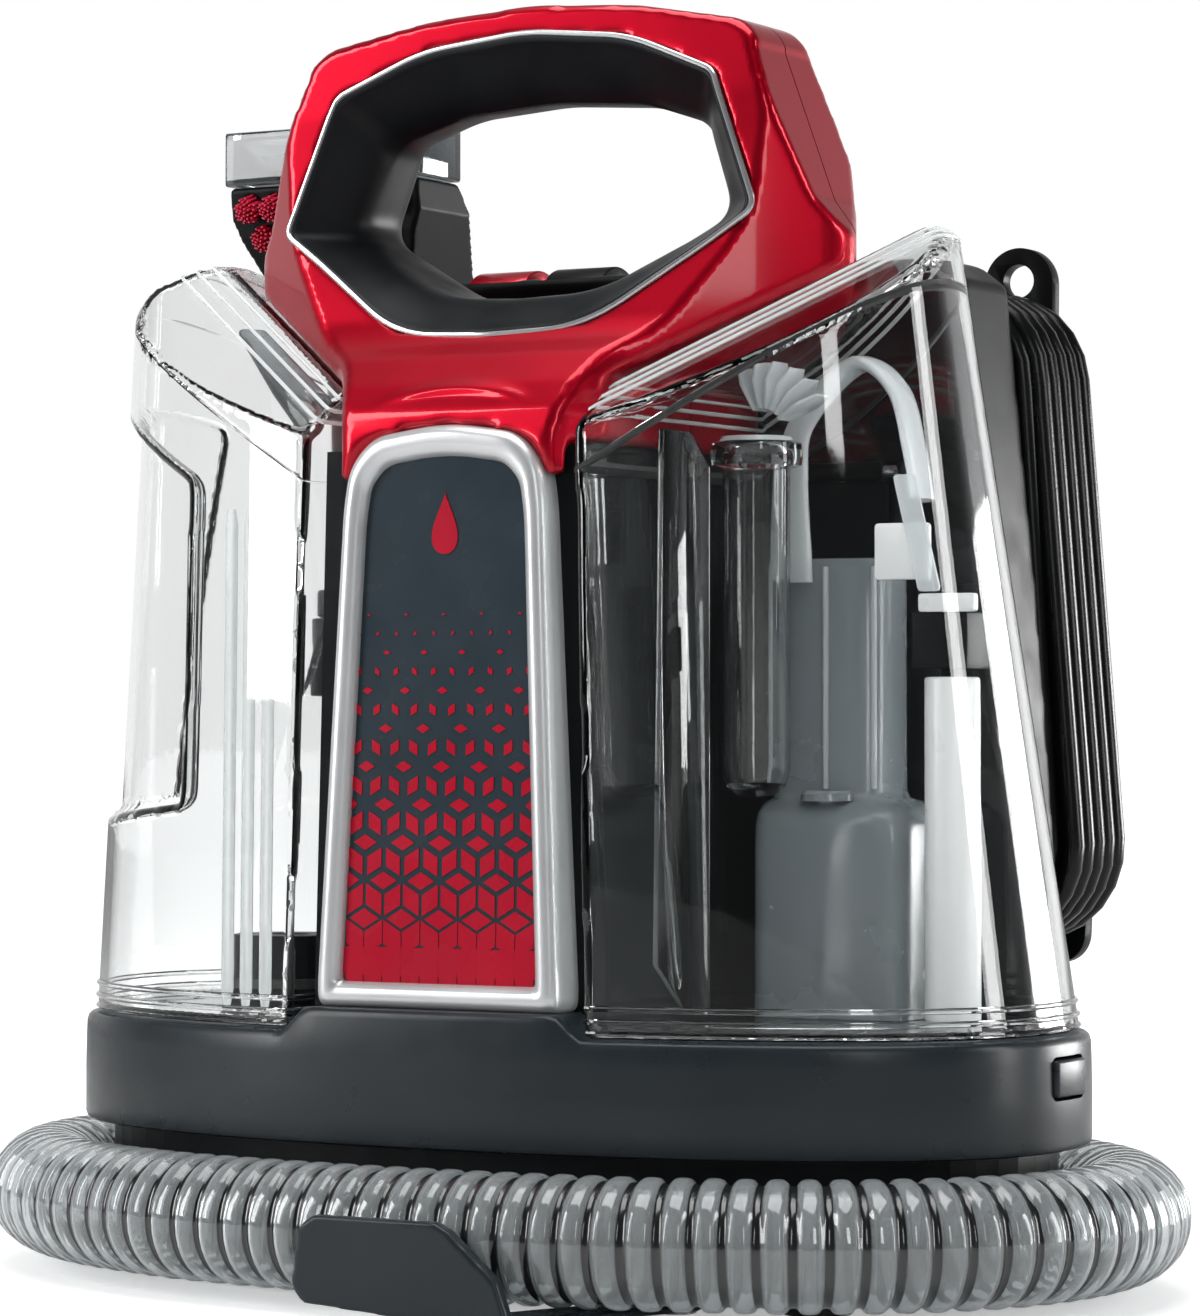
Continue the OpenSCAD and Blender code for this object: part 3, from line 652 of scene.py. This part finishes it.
def corrugated_hose():
    """Clear wall in rounded rings, with the groove between two rings in a dark material."""
    profile = [-1.5, -1.3, -0.5, -0.15, -0.04, 0.0, 0.0, -0.04, -0.15, -0.5, -1.3, -1.5]
    per_rib = len(profile)
    sides = 32
    path = spline(HOSE_ROUTE, HOSE_PITCH / per_rib)
    tube = tube_along("hose_tube", path, lambda i: HOSE_R - 0.1 + profile[i % per_rib], sides)
    tube.data.materials.append(HOSE_CLEAR)
    tube.data.materials.append(HOSE_RIDGE)
    for number, face in enumerate(tube.data.polygons):
        dark = (number // sides) % per_rib in (0, 10, 11) and number < sides * (len(path) - 1)
        face.material_index = 1 if dark else 0
    bm = bmesh.new()
    bm.from_mesh(tube.data)
    caps = [f for f in bm.faces if len(f.verts) > 4]
    bmesh.ops.delete(bm, geom=caps, context="FACES")
    bm.to_mesh(tube.data)
    bm.free()
    shell(tube, 1.0)
    tube.data.shade_smooth()
    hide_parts("hose")
    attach(tube, "root")


COIL_AT = (83, 171)
COIL_HALF = 61.0  # half the distance between the middles of the winding's two ends
COIL_LEAN = math.radians(-5)
CORD_D = 6.6
INNER_R = 16.1  # middle of the inner layer at either end
OUTER_R = 22.7
REAR_ROW = 100.1
FRONT_ROW = 67.1
COIL_START = 110 / 180 / 4  # part of a lap, 110 degrees into its first half turn
INNER_LAPS = 5.0


def on_coil(turn, radius, y):
    """Point on the leaning racetrack; turn counts laps from the lower left, rightwards."""
    lap = turn % 1.0
    up = Vector((math.sin(COIL_LEAN), 0, math.cos(COIL_LEAN)))
    right = Vector((math.cos(COIL_LEAN), 0, -math.sin(COIL_LEAN)))
    quarter = int(lap * 4)
    t = lap * 4 - quarter
    if quarter == 0:
        a = math.pi * (1 + t)
        spot = right * (radius * math.cos(a)) + up * (radius * math.sin(a) - COIL_HALF)
    elif quarter == 1:
        spot = right * radius + up * (COIL_HALF * (2 * t - 1))
    elif quarter == 2:
        a = math.pi * t
        spot = right * (radius * math.cos(a)) + up * (radius * math.sin(a) + COIL_HALF)
    else:
        spot = right * -radius + up * (COIL_HALF * (1 - 2 * t))
    return Vector((COIL_AT[0], y, COIL_AT[1])) + spot


def cord_points():
    """Lead from the boot, inner layer forwards, outer layer backwards, and tail to the plug."""
    lead = [(46, 84, 78), (46.6, 88.6, 78), (48.8, 93.2, 78.3), (52.4, 97, 79),
            (57.5, 99.5, 80.2), (63.5, 100.5, 82.4), (69.5, 100.5, 85.2),
            on_coil(COIL_START, INNER_R, REAR_ROW)]
    points = spline(lead, 3.0)
    finish = 10.75
    count = int((finish - COIL_START) * 48)
    for i in range(count + 1):
        turn = COIL_START + (finish - COIL_START) * i / count
        gone = turn - COIL_START
        if gone < INNER_LAPS:
            radius = INNER_R
            y = REAR_ROW - CORD_D * gone
        elif gone < INNER_LAPS + 1:
            radius = INNER_R + CORD_D * math.sin((gone - INNER_LAPS) * math.pi / 2)
            y = FRONT_ROW
        else:
            radius = OUTER_R
            y = FRONT_ROW + CORD_D * (gone - INNER_LAPS - 1)
        points.append(on_coil(turn, radius, y))
    tail = [points[-1], (54.6, points[-1].y - 1.9, 222.3), (52.6, 89.9, 214.9), (50.6, 84, 207.4),
            (50, 82, 200)]
    points += spline(tail, 3.0)[1:]
    return points


def mains_cord():
    points = cord_points()
    curve = bpy.data.curves.new("mains_cord", "CURVE")
    curve.dimensions = "3D"
    line = curve.splines.new("POLY")
    line.points.add(len(points) - 1)
    for spot, p in zip(line.points, points):
        spot.co = (p.x * MM, p.y * MM, p.z * MM, 1)
    curve.bevel_depth = CORD_D / 2 * MM
    curve.bevel_resolution = 5
    obj = new_object("mains_cord", curve)
    curve.materials.append(CORD)
    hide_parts("cord_coil", "cord_lead")
    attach(obj, "root")


corrugated_hose()
mains_cord()


# ------------ floor

def studio_floor():
    """Pale floor that whitens outwards, and glows only where it is seen straight."""
    reach = 15000
    corners = [(x, y, -0.2) for x, y in rect(-reach, -reach, reach, reach)]
    floor = from_lists("studio_floor", corners, [(0, 1, 2, 3)])
    material = moulded("pale_floor", (0.8, 0.8, 0.8), 0.6, vary=0.01, bump=0.0, mottle=2, spec=0.2)
    nt = material.node_tree
    place = add_node(nt, "TexCoord").outputs["Object"]
    away = add_node(nt, "VectorMath", {0: place}, operation="LENGTH").outputs["Value"]
    glow = mapped(nt, away, 0.42, 1.0, 0.2, 1.1)
    level = mapped(nt, seen_straight(nt), 0.12, 1.0, 0.0, 1.0)
    feed(nt, nt.nodes["Principled BSDF"], {"Emission Color": (1, 1, 1, 1),
                                           "Emission Strength": maths(nt, "MULTIPLY", glow, level)})
    floor.data.materials.append(material)


studio_floor()


# ------------ base

def sill_lift(x, y):
    """Raised middle of the deck at the front, with 45 degree shoulders."""
    if y > 0:
        return 0.0
    return (SILL - DECK) * min(1.0, max(0.0, (42.5 - abs(x)) / 6.5))


def base_body():
    half_length, half_depth = 140, 75

    def ring(inset, z, raised):
        around = oval(half_length - inset, half_depth - inset, 0.0, 0.0, 288)
        return [(x, y, z + (sill_lift(x, y) if raised else 0)) for x, y, _ in around]
    steps = [(9.0, 40.5, 0), (9.0, LIP, 0), (1.4, LIP, 0), (0.4, LIP + 0.5, 0), (0, LIP + 1.6, 0),
             (0, 52, 0), (0.15, 60, 0), (0.3, 63.6, 1), (0.7, 65.1, 1), (1.5, 65.8, 1),
             (2.6, 66.0, 1), (16.5, 66.0, 1), (16.6, 66.0, 0), (30, 66.0, 0)]
    base = loft("base_body", [ring(*s) for s in steps])
    for side in (-1, 1):
        x0, x1 = sorted((side * 131.5, side * 146))
        combine(base, prism("notch", rounded(rect(-9.4, 50.6, 9.4, 61.4), 2.5), "x", x0, x1))
    finish_node(base, "base_housing", angle=40)


def rocker_slot(node):
    """Room in the tower's top for a rocker switch to tip either way."""
    low, high = (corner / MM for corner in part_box(node))
    side, end = 0.5, 1.0
    return prism(node + "_slot", rect(low.x - side, 257.5, high.x + side, 270), "y", low.y - end,
                 high.y + end)


base_body()
softened("hose_clip", 0.8, 16)
softened("hose_grip", 0.8, 8)
softened("rear_tower", 1.6, 12, [rocker_slot("power_switch"), rocker_slot("heat_switch")])
dressed("hose_elbow", 0.8, 2)
dressed("vent_grille", 0.6, 2)
for node, width in (("left_latch", 1.0), ("right_latch", 1.0), ("cord_hook_upper", 1.2),
                    ("cord_hook_lower", 1.2), ("tool_cradle", 1.0), ("grip_trigger", 1.2),
                    ("power_switch", 0.8), ("heat_switch", 0.8), ("rubber_feet", 1.2)):
    dressed(node, width)


# ------------ column front

def front_y(z):
    """Depth of the column's front face, which leans back from z 60 to z 220."""
    low, high = -69.5, -65.0
    return low + (high - low) * (z - 60) / 160


def on_front(outline, depth):
    """The outline laid parallel to the column's front face."""
    return [(x, front_y(z) + depth, z) for x, z in outline]


def between(first, second, amount):
    """Outline part of the way from the first to the second."""
    return [(x0 + (x1 - x0) * amount, z0 + (z1 - z0) * amount)
            for (x0, z0), (x1, z1) in zip(first, second)]


FRAME_OUTER = [(34, 72.3), (34, 78), (28.5, 196), (27, 206.5), (20.5, 213.5), (0, 216.3)]
FRAME_INNER = [(28.6, 77.5), (28.6, 82), (23.7, 193), (22.3, 202), (17.5, 207.5), (0, 210)]
FRAME_RADII = [3, 30, 60, 14, 22, 60]
LABEL_RADII = [3, 3, 60, 9, 14, 60]


def silver_frame():
    """Rounded band between the two outlines, from its outer side over its crown to the panel."""
    outer = matched(FRAME_OUTER, FRAME_RADII)
    inner = matched(FRAME_INNER, LABEL_RADII)
    profile = [(0, 11), (0, 3.2), (0.05, 1.6), (0.16, 0.5), (0.32, 0.05), (0.5, 0.0), (0.66, 0.1),
               (0.82, 0.6), (0.94, 1.5), (1.0, 2.4), (1.0, 5.5)]
    band = loft("silver_surround", [on_front(between(outer, inner, amount), depth)
                                    for amount, depth in profile], cap=False)
    finish_node(shell(band, 0.8, 1), "silver_frame", angle=60)


def label():
    inner = [(x * 1.01, z) for x, z in matched(FRAME_INNER, LABEL_RADII)]
    panel = loft("label_plate", [on_front(inner, depth) for depth in (2.3, 4.6)])
    finish_node(panel, "label_panel")


def label_print():
    """Stacked cubes of three rhombi each, which shrink and thin out upwards."""
    cell = 10.9
    rise = cell * math.sqrt(3) / 2
    edge = cell / math.sqrt(3)
    corner = [(edge * math.sin(math.radians(60 * k)), edge * math.cos(math.radians(60 * k)))
              for k in range(6)]
    (foot_x, foot_z), (head_x, head_z) = FRAME_INNER[1:3]

    def half_width(z):
        """The print's half width between the frame's slanting sides."""
        return foot_x + (head_x - foot_x) * max(0, z - foot_z) / (head_z - foot_z) - 0.7

    points, faces = [], []
    row = 0
    z = 72.0
    while z < 174:
        size = min(0.95, (178 - z) / 92)
        for column in range(-4, 5):
            x = (column + (0.5 if row % 2 else 0.0)) * cell
            for first in (0, 2, 4):
                rhombus = [(0.0, 0.0), corner[(first + 5) % 6], corner[first],
                           corner[(first + 1) % 6]]
                cx = sum(p[0] for p in rhombus) / 4
                cz = sum(p[1] for p in rhombus) / 4
                scale = size if first else size * 0.84
                if abs(x + cx) > half_width(z + cz) + 1.2 or z + cz < 79.5 or size < 0.06:
                    continue
                faces.append(tuple(range(len(points), len(points) + 4)))
                for px, pz in rhombus:
                    pz = z + cz + (pz - cz) * scale
                    limit = half_width(pz)
                    px = max(-limit, min(limit, x + cx + (px - cx) * scale))
                    points.append((px, front_y(pz) + 2.18, pz))
        row += 1
        z += rise
    low, high = half_width(80.2), half_width(87)
    band = [(-low, 80.0), (low, 80.0), (high, 87.0), (-high, 87.0)]
    faces.append(tuple(range(len(points), len(points) + 4)))
    points += [(px, front_y(pz) + 2.2, pz) for px, pz in band]
    prints = shell(from_lists("label_rhombi", points, faces), 0.12, 0)
    finish_piece(prints, LABEL_RED, "root", "label")


def droplet():
    """Plain water drop where the panel carries its mark."""
    middle = 192
    turns = [2 * math.pi * i / 48 for i in range(48)]
    outline = [(5.4 * math.sin(a) * math.sin(a / 2) ** 1.6, middle + 7.6 * math.cos(a))
               for a in turns]
    drop = loft("label_drop", [on_front(outline, depth) for depth in (2.05, 2.4)])
    finish_piece(drop, LABEL_RED, "root", "label")


silver_frame()
label()
label_print()
droplet()


# ------------ handle

TOP_ARC = [(56 + 11 * math.cos(a), 308 + 11 * math.sin(a))
           for a in [math.radians(20 + 11 * k) for k in range(6)]]
HAND_OUTER = ([(37.8, 203.5), (37.8, top_z(38.5) + 0.5), (89, top_z(89) + 0.5), (90, 260),
               (86, 265), (80, 273), (66, 311)] + TOP_ARC + [(30, 324), (0, 326)])
HAND_SIDE = [(-64.4, 203.5), (-64.2, 213), (-61.8, 220.5), (-57.5, 227), (-50.5, 234.3),
             (-42, 241), (-32, 262), (-29, 273), (-27, 300), (-22, 328), (4, 328), (9, 300),
             (12, 273), (31, 262), (31, 211), (-59, 211), (-59, 203.5)]
SIDE_RADII = [0.8, 20, 12, 12, 12, 26, 22, 30, 30, 5, 6, 20, 8, 6, 1, 0.5, 0.5]
HAND_PLAN = [(0, -70), (27, -70), (38, -50), (68, -29), (89, -14), (81, 2), (62, 31), (0, 31)]
RIM = [(0, 241), (27, 242), (68, 270), (54.5, 305), (30, 315), (0, 318)]
THROAT = [(0, 251), (24, 252), (55, 270.5), (46, 294), (28, 300), (0, 302)]


def hand_front(z):
    """Depth of the handle's front face at a height."""
    face = HAND_SIDE[:10]
    for (y0, z0), (y1, z1) in zip(face, face[1:]):
        if z0 <= z <= z1:
            return y0 + (y1 - y0) * (z - z0) / (z1 - z0)
    return face[-1][0]


def crease(body):
    """Shallow curved ridge low on the front of the handle."""
    for v in body.data.vertices:
        x, y, z = (c / MM for c in v.co)
        if y < -40 and abs(x) < 22:
            off = z - (222.5 + 3.5 * (1 - (x / 22) ** 2))
            v.co.y -= 0.9 * MM * math.exp(-(off / 1.5) ** 2) * (1 - (x / 22) ** 2)


def handle():
    outer_r = [1, 1, 2, 4, 4, 6, 9] + [0] * 6 + [40, 60]
    outer = tidy(rounded(*mirrored(HAND_OUTER, outer_r), 5))
    body = prism("handle_body", outer, "y", -70, 40)
    side = tidy(rounded(HAND_SIDE, SIDE_RADII, 6))
    combine(body, prism("side", side, "x", -100, 100), "INTERSECT")
    plan_r = [60, 22, 30, 140, 12, 12, 8, 0]
    plan = tidy(rounded(*mirrored(HAND_PLAN, plan_r), 6))
    combine(body, prism("plan", plan, "z", 200, 335), "INTERSECT")
    arch = [(x * 1.018, z + 0.5) for x, z in matched(FRAME_OUTER, FRAME_RADII)]
    combine(body, prism("arch", tidy(arch), "y", -90, -50))
    opening = tidy(rounded(*mirrored(RIM, [5] * len(RIM)), 5))
    combine(body, prism("opening", opening, "y", -80, 60))
    soften(body, 1.15, 16)
    crease(body)
    half_seam = 0.25
    for node, way in (("handle_front", 1), ("handle_rear", -1)):
        half = copy_of(body, node + "_shell")
        slice_off(half, (0, HAND_SPLIT - way * half_seam, 0), (0, way, 0))
        finish_node(half, node, angle=50)
    bpy.data.objects.remove(body)


def grip():
    """Soft ring inside the loop: a thin raised lip, a wide chamfer and a rounded throat."""
    centre = Vector((0, 278))
    overlap = 0.8
    rim = [Vector(p) for p in matched(RIM, [60, 40, 4, 6, 50, 60])]
    rim = [tuple(p + (p - centre).normalized() * overlap) for p in rim]
    throat = matched(THROAT, [60, 40, 8, 9, 40, 60])

    def layer(amount, depth, flat):
        """Outline between rim and throat, at a flat depth or behind the handle's front face."""
        return [(x, depth + (0 if flat else hand_front(z0)), z)
                for (x, z), (_, z0) in zip(between(rim, throat, amount), rim)]
    chamfer = ((0.0, 6.0), (-0.02, 0.6), (0.02, -0.8), (0.08, -1.1), (0.13, -0.5), (0.18, 0.6),
               (0.45, 4.8), (0.75, 9.6), (0.9, 12.6), (0.98, 15.8))
    back = ((1.0, -10), (1.0, -2), (0.97, 2.5), (0.85, 5.5), (0.6, 7.6), (0.2, 8.8), (0.0, 8.9),
            (-0.02, 6.0))
    rings = [layer(*step, False) for step in chamfer] + [layer(*step, True) for step in back]
    ring = loft("grip_ring", rings, cap=False, loop=True)
    ring.modifiers.new("smooth", "SUBSURF").levels = 1
    bake(ring)
    finish_node(ring, "handle_grip", angle=50)
    # Raised bead round the rim in light grey: painted highlight standing in for the bright line
    # along the rim's edge.
    edge = tidy([(x, hand_front(z) - 0.5, z) for x, z in rim], 0.3)
    lip = tube_along("grip_lip_highlight", edge, lambda i: 0.75, 10, close=True)
    finish_piece(lip, RIM_HIGHLIGHT, "root", "silver")


handle()
grip()


# ------------ tanks

FACET_AT = (39, -70, 214)
FACET_NORMAL = (-0.199, -0.4855, 0.851)
SEAM_NORMAL = Vector((-SLOPE, 0, 1)).normalized()
SEAM_DROP = 24  # the seam between tank and crown runs this far below the top's slope
CROWN_DROPS = (2.5, 5.5, 8.5)
FOOT_LIPS = (67.6, 70.4, 73.6)


def tank_solid():
    """Closed outer form of the right-hand tank."""
    body = loft("tank_form", [body_ring(z) for z in (SEAT, 100, 140, 180, 220, 272)])
    side = [(CORE_LOW + 0.3, SEAT), (150, SEAT), (150, 254), (117.5, 256), (112, 263),
            (104, top_z(104)), (CORE_HIGH + 0.5, top_z(38))]
    combine(body, prism("side", side, "y", -90, TANK_BACK), "INTERSECT")
    slice_off(body, FACET_AT, FACET_NORMAL)
    return body


def finger_pocket():
    """Recess in the outer wall: deep at the front, shallow at the end of the machine."""
    window = prism("window", [(82, 122), (80, 204), (125, 228), (165, 228), (165, 127), (122, 118)],
                   "y", -95, 6)
    combine(window, loft("core", [body_ring(z, 1.8, 9) for z in (100, 180, 250)]))
    return window


def lathe(name, profile, at, sides):
    """Closed profile of radius and height, turned about an upright axis."""
    rings = []
    for k in range(sides):
        a = 2 * math.pi * k / sides
        rings.append([(at[0] + r * math.cos(a), at[1] + r * math.sin(a), z) for r, z in profile])
    return loft(name, rings, cap=False, loop=True)


def lip_line(solid, name, point, normal, radius, mirror):
    """Thin bead round the solid where a plane cuts it."""
    bm = bmesh.new()
    bm.from_mesh(solid.data)
    parts = bm.verts[:] + bm.edges[:] + bm.faces[:]
    cut = bmesh.ops.bisect_plane(bm, geom=parts, plane_co=[c * MM for c in point],
                                 plane_no=normal)
    edges = {e for e in cut["geom_cut"] if isinstance(e, bmesh.types.BMEdge)}
    edge = min(edges, key=lambda e: e.index)
    here, loop = edge.verts[0], []
    while edge:
        edges.discard(edge)
        here = edge.other_vert(here)
        loop.append(tuple(c / MM for c in here.co))
        edge = next((e for e in here.link_edges if e in edges), None)
    bm.free()
    loop = [Vector(p) for p in tidy(loop, 0.4)]
    ring = spaced(loop + loop[:1], len(loop) // 2)[:-1]
    bead = tube_along(name, ring, lambda i: radius, 8, close=True)
    return mirror_mesh(bead) if mirror else bead


def crest_below(drop):
    return (CREST[0], 0, CREST[1] - drop)


def split_tank(solid, name, low_gap, high_gap):
    """Open lower tank and open crown on either side of the seam that follows the top's slope."""
    low = copy_of(solid, name)
    slice_off(low, crest_below(SEAM_DROP + low_gap), SEAM_NORMAL, False)
    crown = copy_of(solid, name + "_crown")
    slice_off(crown, crest_below(SEAM_DROP - high_gap), -SEAM_NORMAL, False)
    shell(low, TANK_WALL)
    shell(crown, TANK_WALL)
    bpy.data.objects.remove(solid)
    return low, crown


def beads(solid, body, mirror):
    """Stacked lip lines: three parallel to the top's slope, whose hazy white paints the top light's
    highlight on the crown's rounded edge, and three clear ones round the foot.
    """
    for i, drop in enumerate(CROWN_DROPS):
        bead = lip_line(solid, f"{body}_crown_highlight_lip_{i}", crest_below(drop), SEAM_NORMAL, 0.55, mirror)
        # Raised ridge lines along the crown; their hazy white is painted highlight of the top light
        # on the rounded edge.
        finish_piece(bead, FROST, body, "clear")
    for i, z in enumerate(FOOT_LIPS):
        bead = lip_line(solid, f"{body}_foot_lip_{i}", (0, 0, z), (0, 0, 1), 0.75, mirror)
        finish_piece(bead, CLEAR, body, "clear")


def tanks():
    right = tank_solid()
    left = copy_of(right, "left_form")
    combine(left, finger_pocket())
    for solid, node, mirror, voxel, rounds, gaps in (
            (right, "dirty_tank", False, 1.3, 14, (0.0, 1.2)),
            (left, "clean_tank", True, 1.1, 18, (0.2, 0.2))):
        soften(solid, voxel, rounds)
        beads(solid, node, mirror)
        halves = split_tank(solid, node + "_shell", *gaps)
        for piece, name in zip(halves, (node, node + "_top")):
            if mirror:
                mirror_mesh(piece)
            finish_node(piece, name, angle=60)


def crown_baffle():
    """Smoked plate close under the slanting front facet of the clean tank."""
    def under(x, y, drop):
        rise = FACET_NORMAL[0] * (x - FACET_AT[0]) + FACET_NORMAL[1] * (y - FACET_AT[1])
        return (x, y, FACET_AT[2] - rise / FACET_NORMAL[2] - drop)

    plan = rounded([(43, -63), (60, -50), (86, -28), (78, -26), (43, -48)], 2)
    baffle = loft("crown_baffle", [[under(x, y, drop) for x, y in plan] for drop in (4.8, 3.6)])
    mirror_mesh(baffle)
    finish_piece(bevelled(baffle, 0.4), GREY_CLEAR, "clean_tank", "clear")


def front_wall(x, z):
    """Depth of the tanks' outer front face."""
    a, b, cy = body_size(z)
    return cy - b * (1 - (abs(x) / a) ** ROUND_N) ** (1 / ROUND_N)


def clean_tank_ribs():
    """Three upright ribs inside the wall beside the column."""
    heights = [71 + 4.2 * k for k in range(31)]
    for i, x in enumerate((-64, -57.5, -51)):
        path = [(x, front_wall(x, z) + TANK_WALL + 0.5, z) for z in heights]
        rib = tube_along(f"clean_rib_{i}", path, lambda k: 1.7 if 0 < k < 30 else 1.0, 16)
        finish_piece(rib, FROST, "clean_tank", "clear")


def stack():
    """Smoked air stack: a wide foot that narrows to a slim duct, with raised pale lines of painted
    highlight down it and a boss.
    """
    wide = (54, -6, 97, 27)
    slim = (54, 4, 86, 27)
    steps = [(wide, 68.6, 7), (wide, 112, 7), (wide, 117, 7.5), ((54, -5, 95.5, 27), 120, 8),
             ((54, -2, 92, 27), 122.3, 9), ((54, 3, 87, 27), 123.5, 9), (slim, 125.5, 9),
             (slim, 184, 9)]
    wall = loft("stack_wall", [[(x, y, z) for x, y in rounded(rect(*plan), radius, 6)]
                               for plan, z, radius in steps], cap=False)
    finish_node(shell(wall, 1.8), "standpipe", angle=50)
    # Three thin raised lines in milky plastic; their pale colour paints the duct's highlight streaks
    # and bright edge line.
    for i, (x, y) in enumerate(((56.4, 5.2), (71.5, 3.6), (84.0, 5.6))):
        line = tube_along(f"stack_highlight_line_{i}", [(x, y, 126 + 2 * k) for k in range(29)],
                          lambda k: 0.8, 10)
        finish_piece(line, MILKY, "dirty_tank", "smoke")
    boss = lathe("stack_boss", [(2.2, 123), (2.2, 124.4), (4.2, 124.6), (5.6, 125.6), (6.6, 124.8),
                                (6.8, 123)], (74, -0.5), 48)
    finish_piece(boss, SMOKE, "dirty_tank", "smoke")


def inlet():
    """Clear inlet tube with a rolled mouth, ringed cap and a fan of deflector fins above it."""
    centre = (60, -12)
    tube = lathe("inlet_wall", [(0.01, 124), (4.8, 124.6), (7.4, 126.8), (8.5, 130.5), (8.5, 206),
                                (11.3, 207), (11.6, 209), (11.3, 212.6), (10.2, 213), (7.6, 211),
                                (7.1, 206), (7.1, 131.5), (5.8, 128), (0.01, 126.4)], centre, 48)
    finish_piece(tube, CLEAR, "dirty_tank", "clear", ["inlet_tube"], 50)
    for i in range(3):
        r = 3.2 + 2.4 * i
        ring = lathe(f"inlet_ring_{i}", [(r, 213.1), (r + 0.7, 214.3), (r + 1.4, 213.1)], centre, 40)
        finish_piece(ring, MILKY, "dirty_tank", "smoke")
    hub = Vector((64, -13, 216))
    for i in range(6):
        a = math.radians(28 + 17 * i)
        across = Vector((-math.sin(a), 0, math.cos(a))) * 0.6
        along = Vector((math.cos(a), 0, math.sin(a)))
        rings = [[tuple(hub + along * reach + across * (thick * sx) + Vector((0, depth * sy, 0)))
                  for sx, sy in ((-1, -1), (1, -1), (1, 1), (-1, 1))]
                 for reach, thick, depth in ((5, 0.9, 4), (12, 0.8, 6), (17, 0.5, 4))]
        fin = bevelled(loft(f"deflector_fin_{i}", rings), 0.25)
        finish_piece(fin, MILKY, "dirty_tank", "smoke")


def air_hood():
    """Strip that arches from the stack to the float. It is narrow where the drain flap swings."""
    spine = spline([(63, 2.2, 178), (63, 2.2, 205), (66, 2.4, 219), (79, 7, 233), (91, 6, 226),
                    (97, 3, 210), (100, 1, 198)], 2.0)
    turns = [2 * math.pi * k / 28 for k in range(28)]
    sideways = Vector((0, 1, 0))
    rings = []
    for i, p in enumerate(spine):
        step = (spine[min(i + 1, len(spine) - 1)] - spine[max(i - 1, 0)]).normalized()
        across = sideways.cross(step).normalized()
        along = i / (len(spine) - 1)
        wide = 2.2 + 4.0 * min(1.0, max(0.0, (along - 0.38) / 0.22))
        deep = 5.5 - 3.7 * min(1.0, along / 0.62)
        rings.append([tuple(p + across * (deep * math.sin(t)) +
                            sideways * power(math.cos(t), 0.6) * wide) for t in turns])
    finish_piece(loft("air_hood", rings), MILKY, "dirty_tank", "smoke", (), 50)


def dirty_tank_works():
    """Everything that stands inside the dirty tank."""
    stack()
    inlet()
    air_hood()
    guard = rounded([(97, 204), (103, 204), (110, 175), (104, 175)], 1.2)
    plate("float_guard", guard, "y", -10.8, -9.7, 0.3, MILKY, "dirty_tank", "smoke")
    plate("float_stop", rounded(rect(91.5, 178, 106.5, 192), 1.2), "y", -9.6, -7.9, 0.4, WHITE,
          "dirty_tank", "white")
    plate("float_bar", rounded(rect(102, 170, 117, 174.6), 1), "y", -6.6, -3.4, 0.4, WHITE,
          "float", "white")
    baffle = [(-61, 84), (-46, 72), (-34, 72), (-34, 206), (-44, 214), (-58, 214)]
    plate("dirty_baffle", baffle, "x", 57.2, 58.8, 0.5, CLEAR, "dirty_tank", "clear")


def bristle_tufts():
    """Tapering bundles of strands in three rows under the nozzle."""
    tilt = math.radians(110)
    out = Vector((0, -math.sin(tilt), math.cos(tilt)))
    side = Vector((1, 0, 0))
    up = out.cross(side)
    strands = 34
    golden = 2.39996
    around = [2 * math.pi * k / 5 for k in range(5)]
    points, faces = [], []
    for row in range(3):
        for i in range(7 - row):
            root = Vector((TOOL_X + (i - (6 - row) / 2) * 8, 44.5 + row * 2.4, 288 - row * 8))
            for strand in range(strands):
                a = strand * golden
                r = 3.5 * math.sqrt((strand + 0.5) / strands)
                lean = 0.08 * r
                foot = root + side * (r * math.cos(a)) + up * (r * math.sin(a))
                tip = foot + out * (9.0 - 0.14 * r * r - 0.4 * random.random())
                tip += side * (lean * math.cos(a)) + up * (lean * math.sin(a))
                first = len(points)
                for spot, width in ((foot, 0.42), (tip, 0.34)):
                    points += [tuple(spot + side * (width * math.cos(t))
                                     + up * (width * math.sin(t))) for t in around]
                for k in range(5):
                    h = (k + 1) % 5
                    faces.append((first + k, first + h, first + 5 + h, first + 5 + k))
                faces.append(tuple(range(first, first + 5)))
                faces.append(tuple(range(first + 5, first + 10)))
    finish_node(from_lists("bristle_tufts", points, faces), "tool_brush")


def valve_coil():
    """Coil spring round the tank valve, which shortens as the valve rises; here it is drawn at one
    fixed length, with a mesh of its own.
    """
    low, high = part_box("valve_spring")
    centre = (low + high) / 2
    wire, radius = 0.5, 6.0
    turns, steps = 6.5, 24
    free = (high.z - low.z) / MM
    count = round(turns * steps)
    path = []
    for i in range(count + 1):
        a = 2 * math.pi * i / steps
        z = low.z / MM + wire + (free - 2 * wire) * i / count
        path.append((centre.x / MM + radius * math.cos(a), centre.y / MM + radius * math.sin(a), z))
    coil = finish_node(tube_along("valve_coil", path, lambda i: wire, 10), "valve_spring")
    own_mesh(coil)


def nozzle_throat():
    """Dark funnel seen through the clear nozzle of the stain tool."""
    steps = ((293.4, 17, 47, 55), (297, 20, 46.5, 55), (302.5, 25, 46, 55.5))
    throat = loft("nozzle_throat", [
        [(x, y, z) for x, y in rounded(rect(TOOL_X - half, front, TOOL_X + half, back), 3)]
        for z, half, front, back in steps])
    finish_piece(bevelled(throat, 0.5), BLACK, "stain_tool", "black")


tanks()
clean_tank_ribs()
crown_baffle()
dirty_tank_works()
bristle_tufts()
valve_coil()
nozzle_throat()
softened("stain_tool", 0.8, 8)
dressed("tool_window", 0.9, material=GREY_CLEAR)
dressed("tank_float", 0.9)
dressed("float_guide", 0.8)
dressed("clean_tank_cap", 0.8)
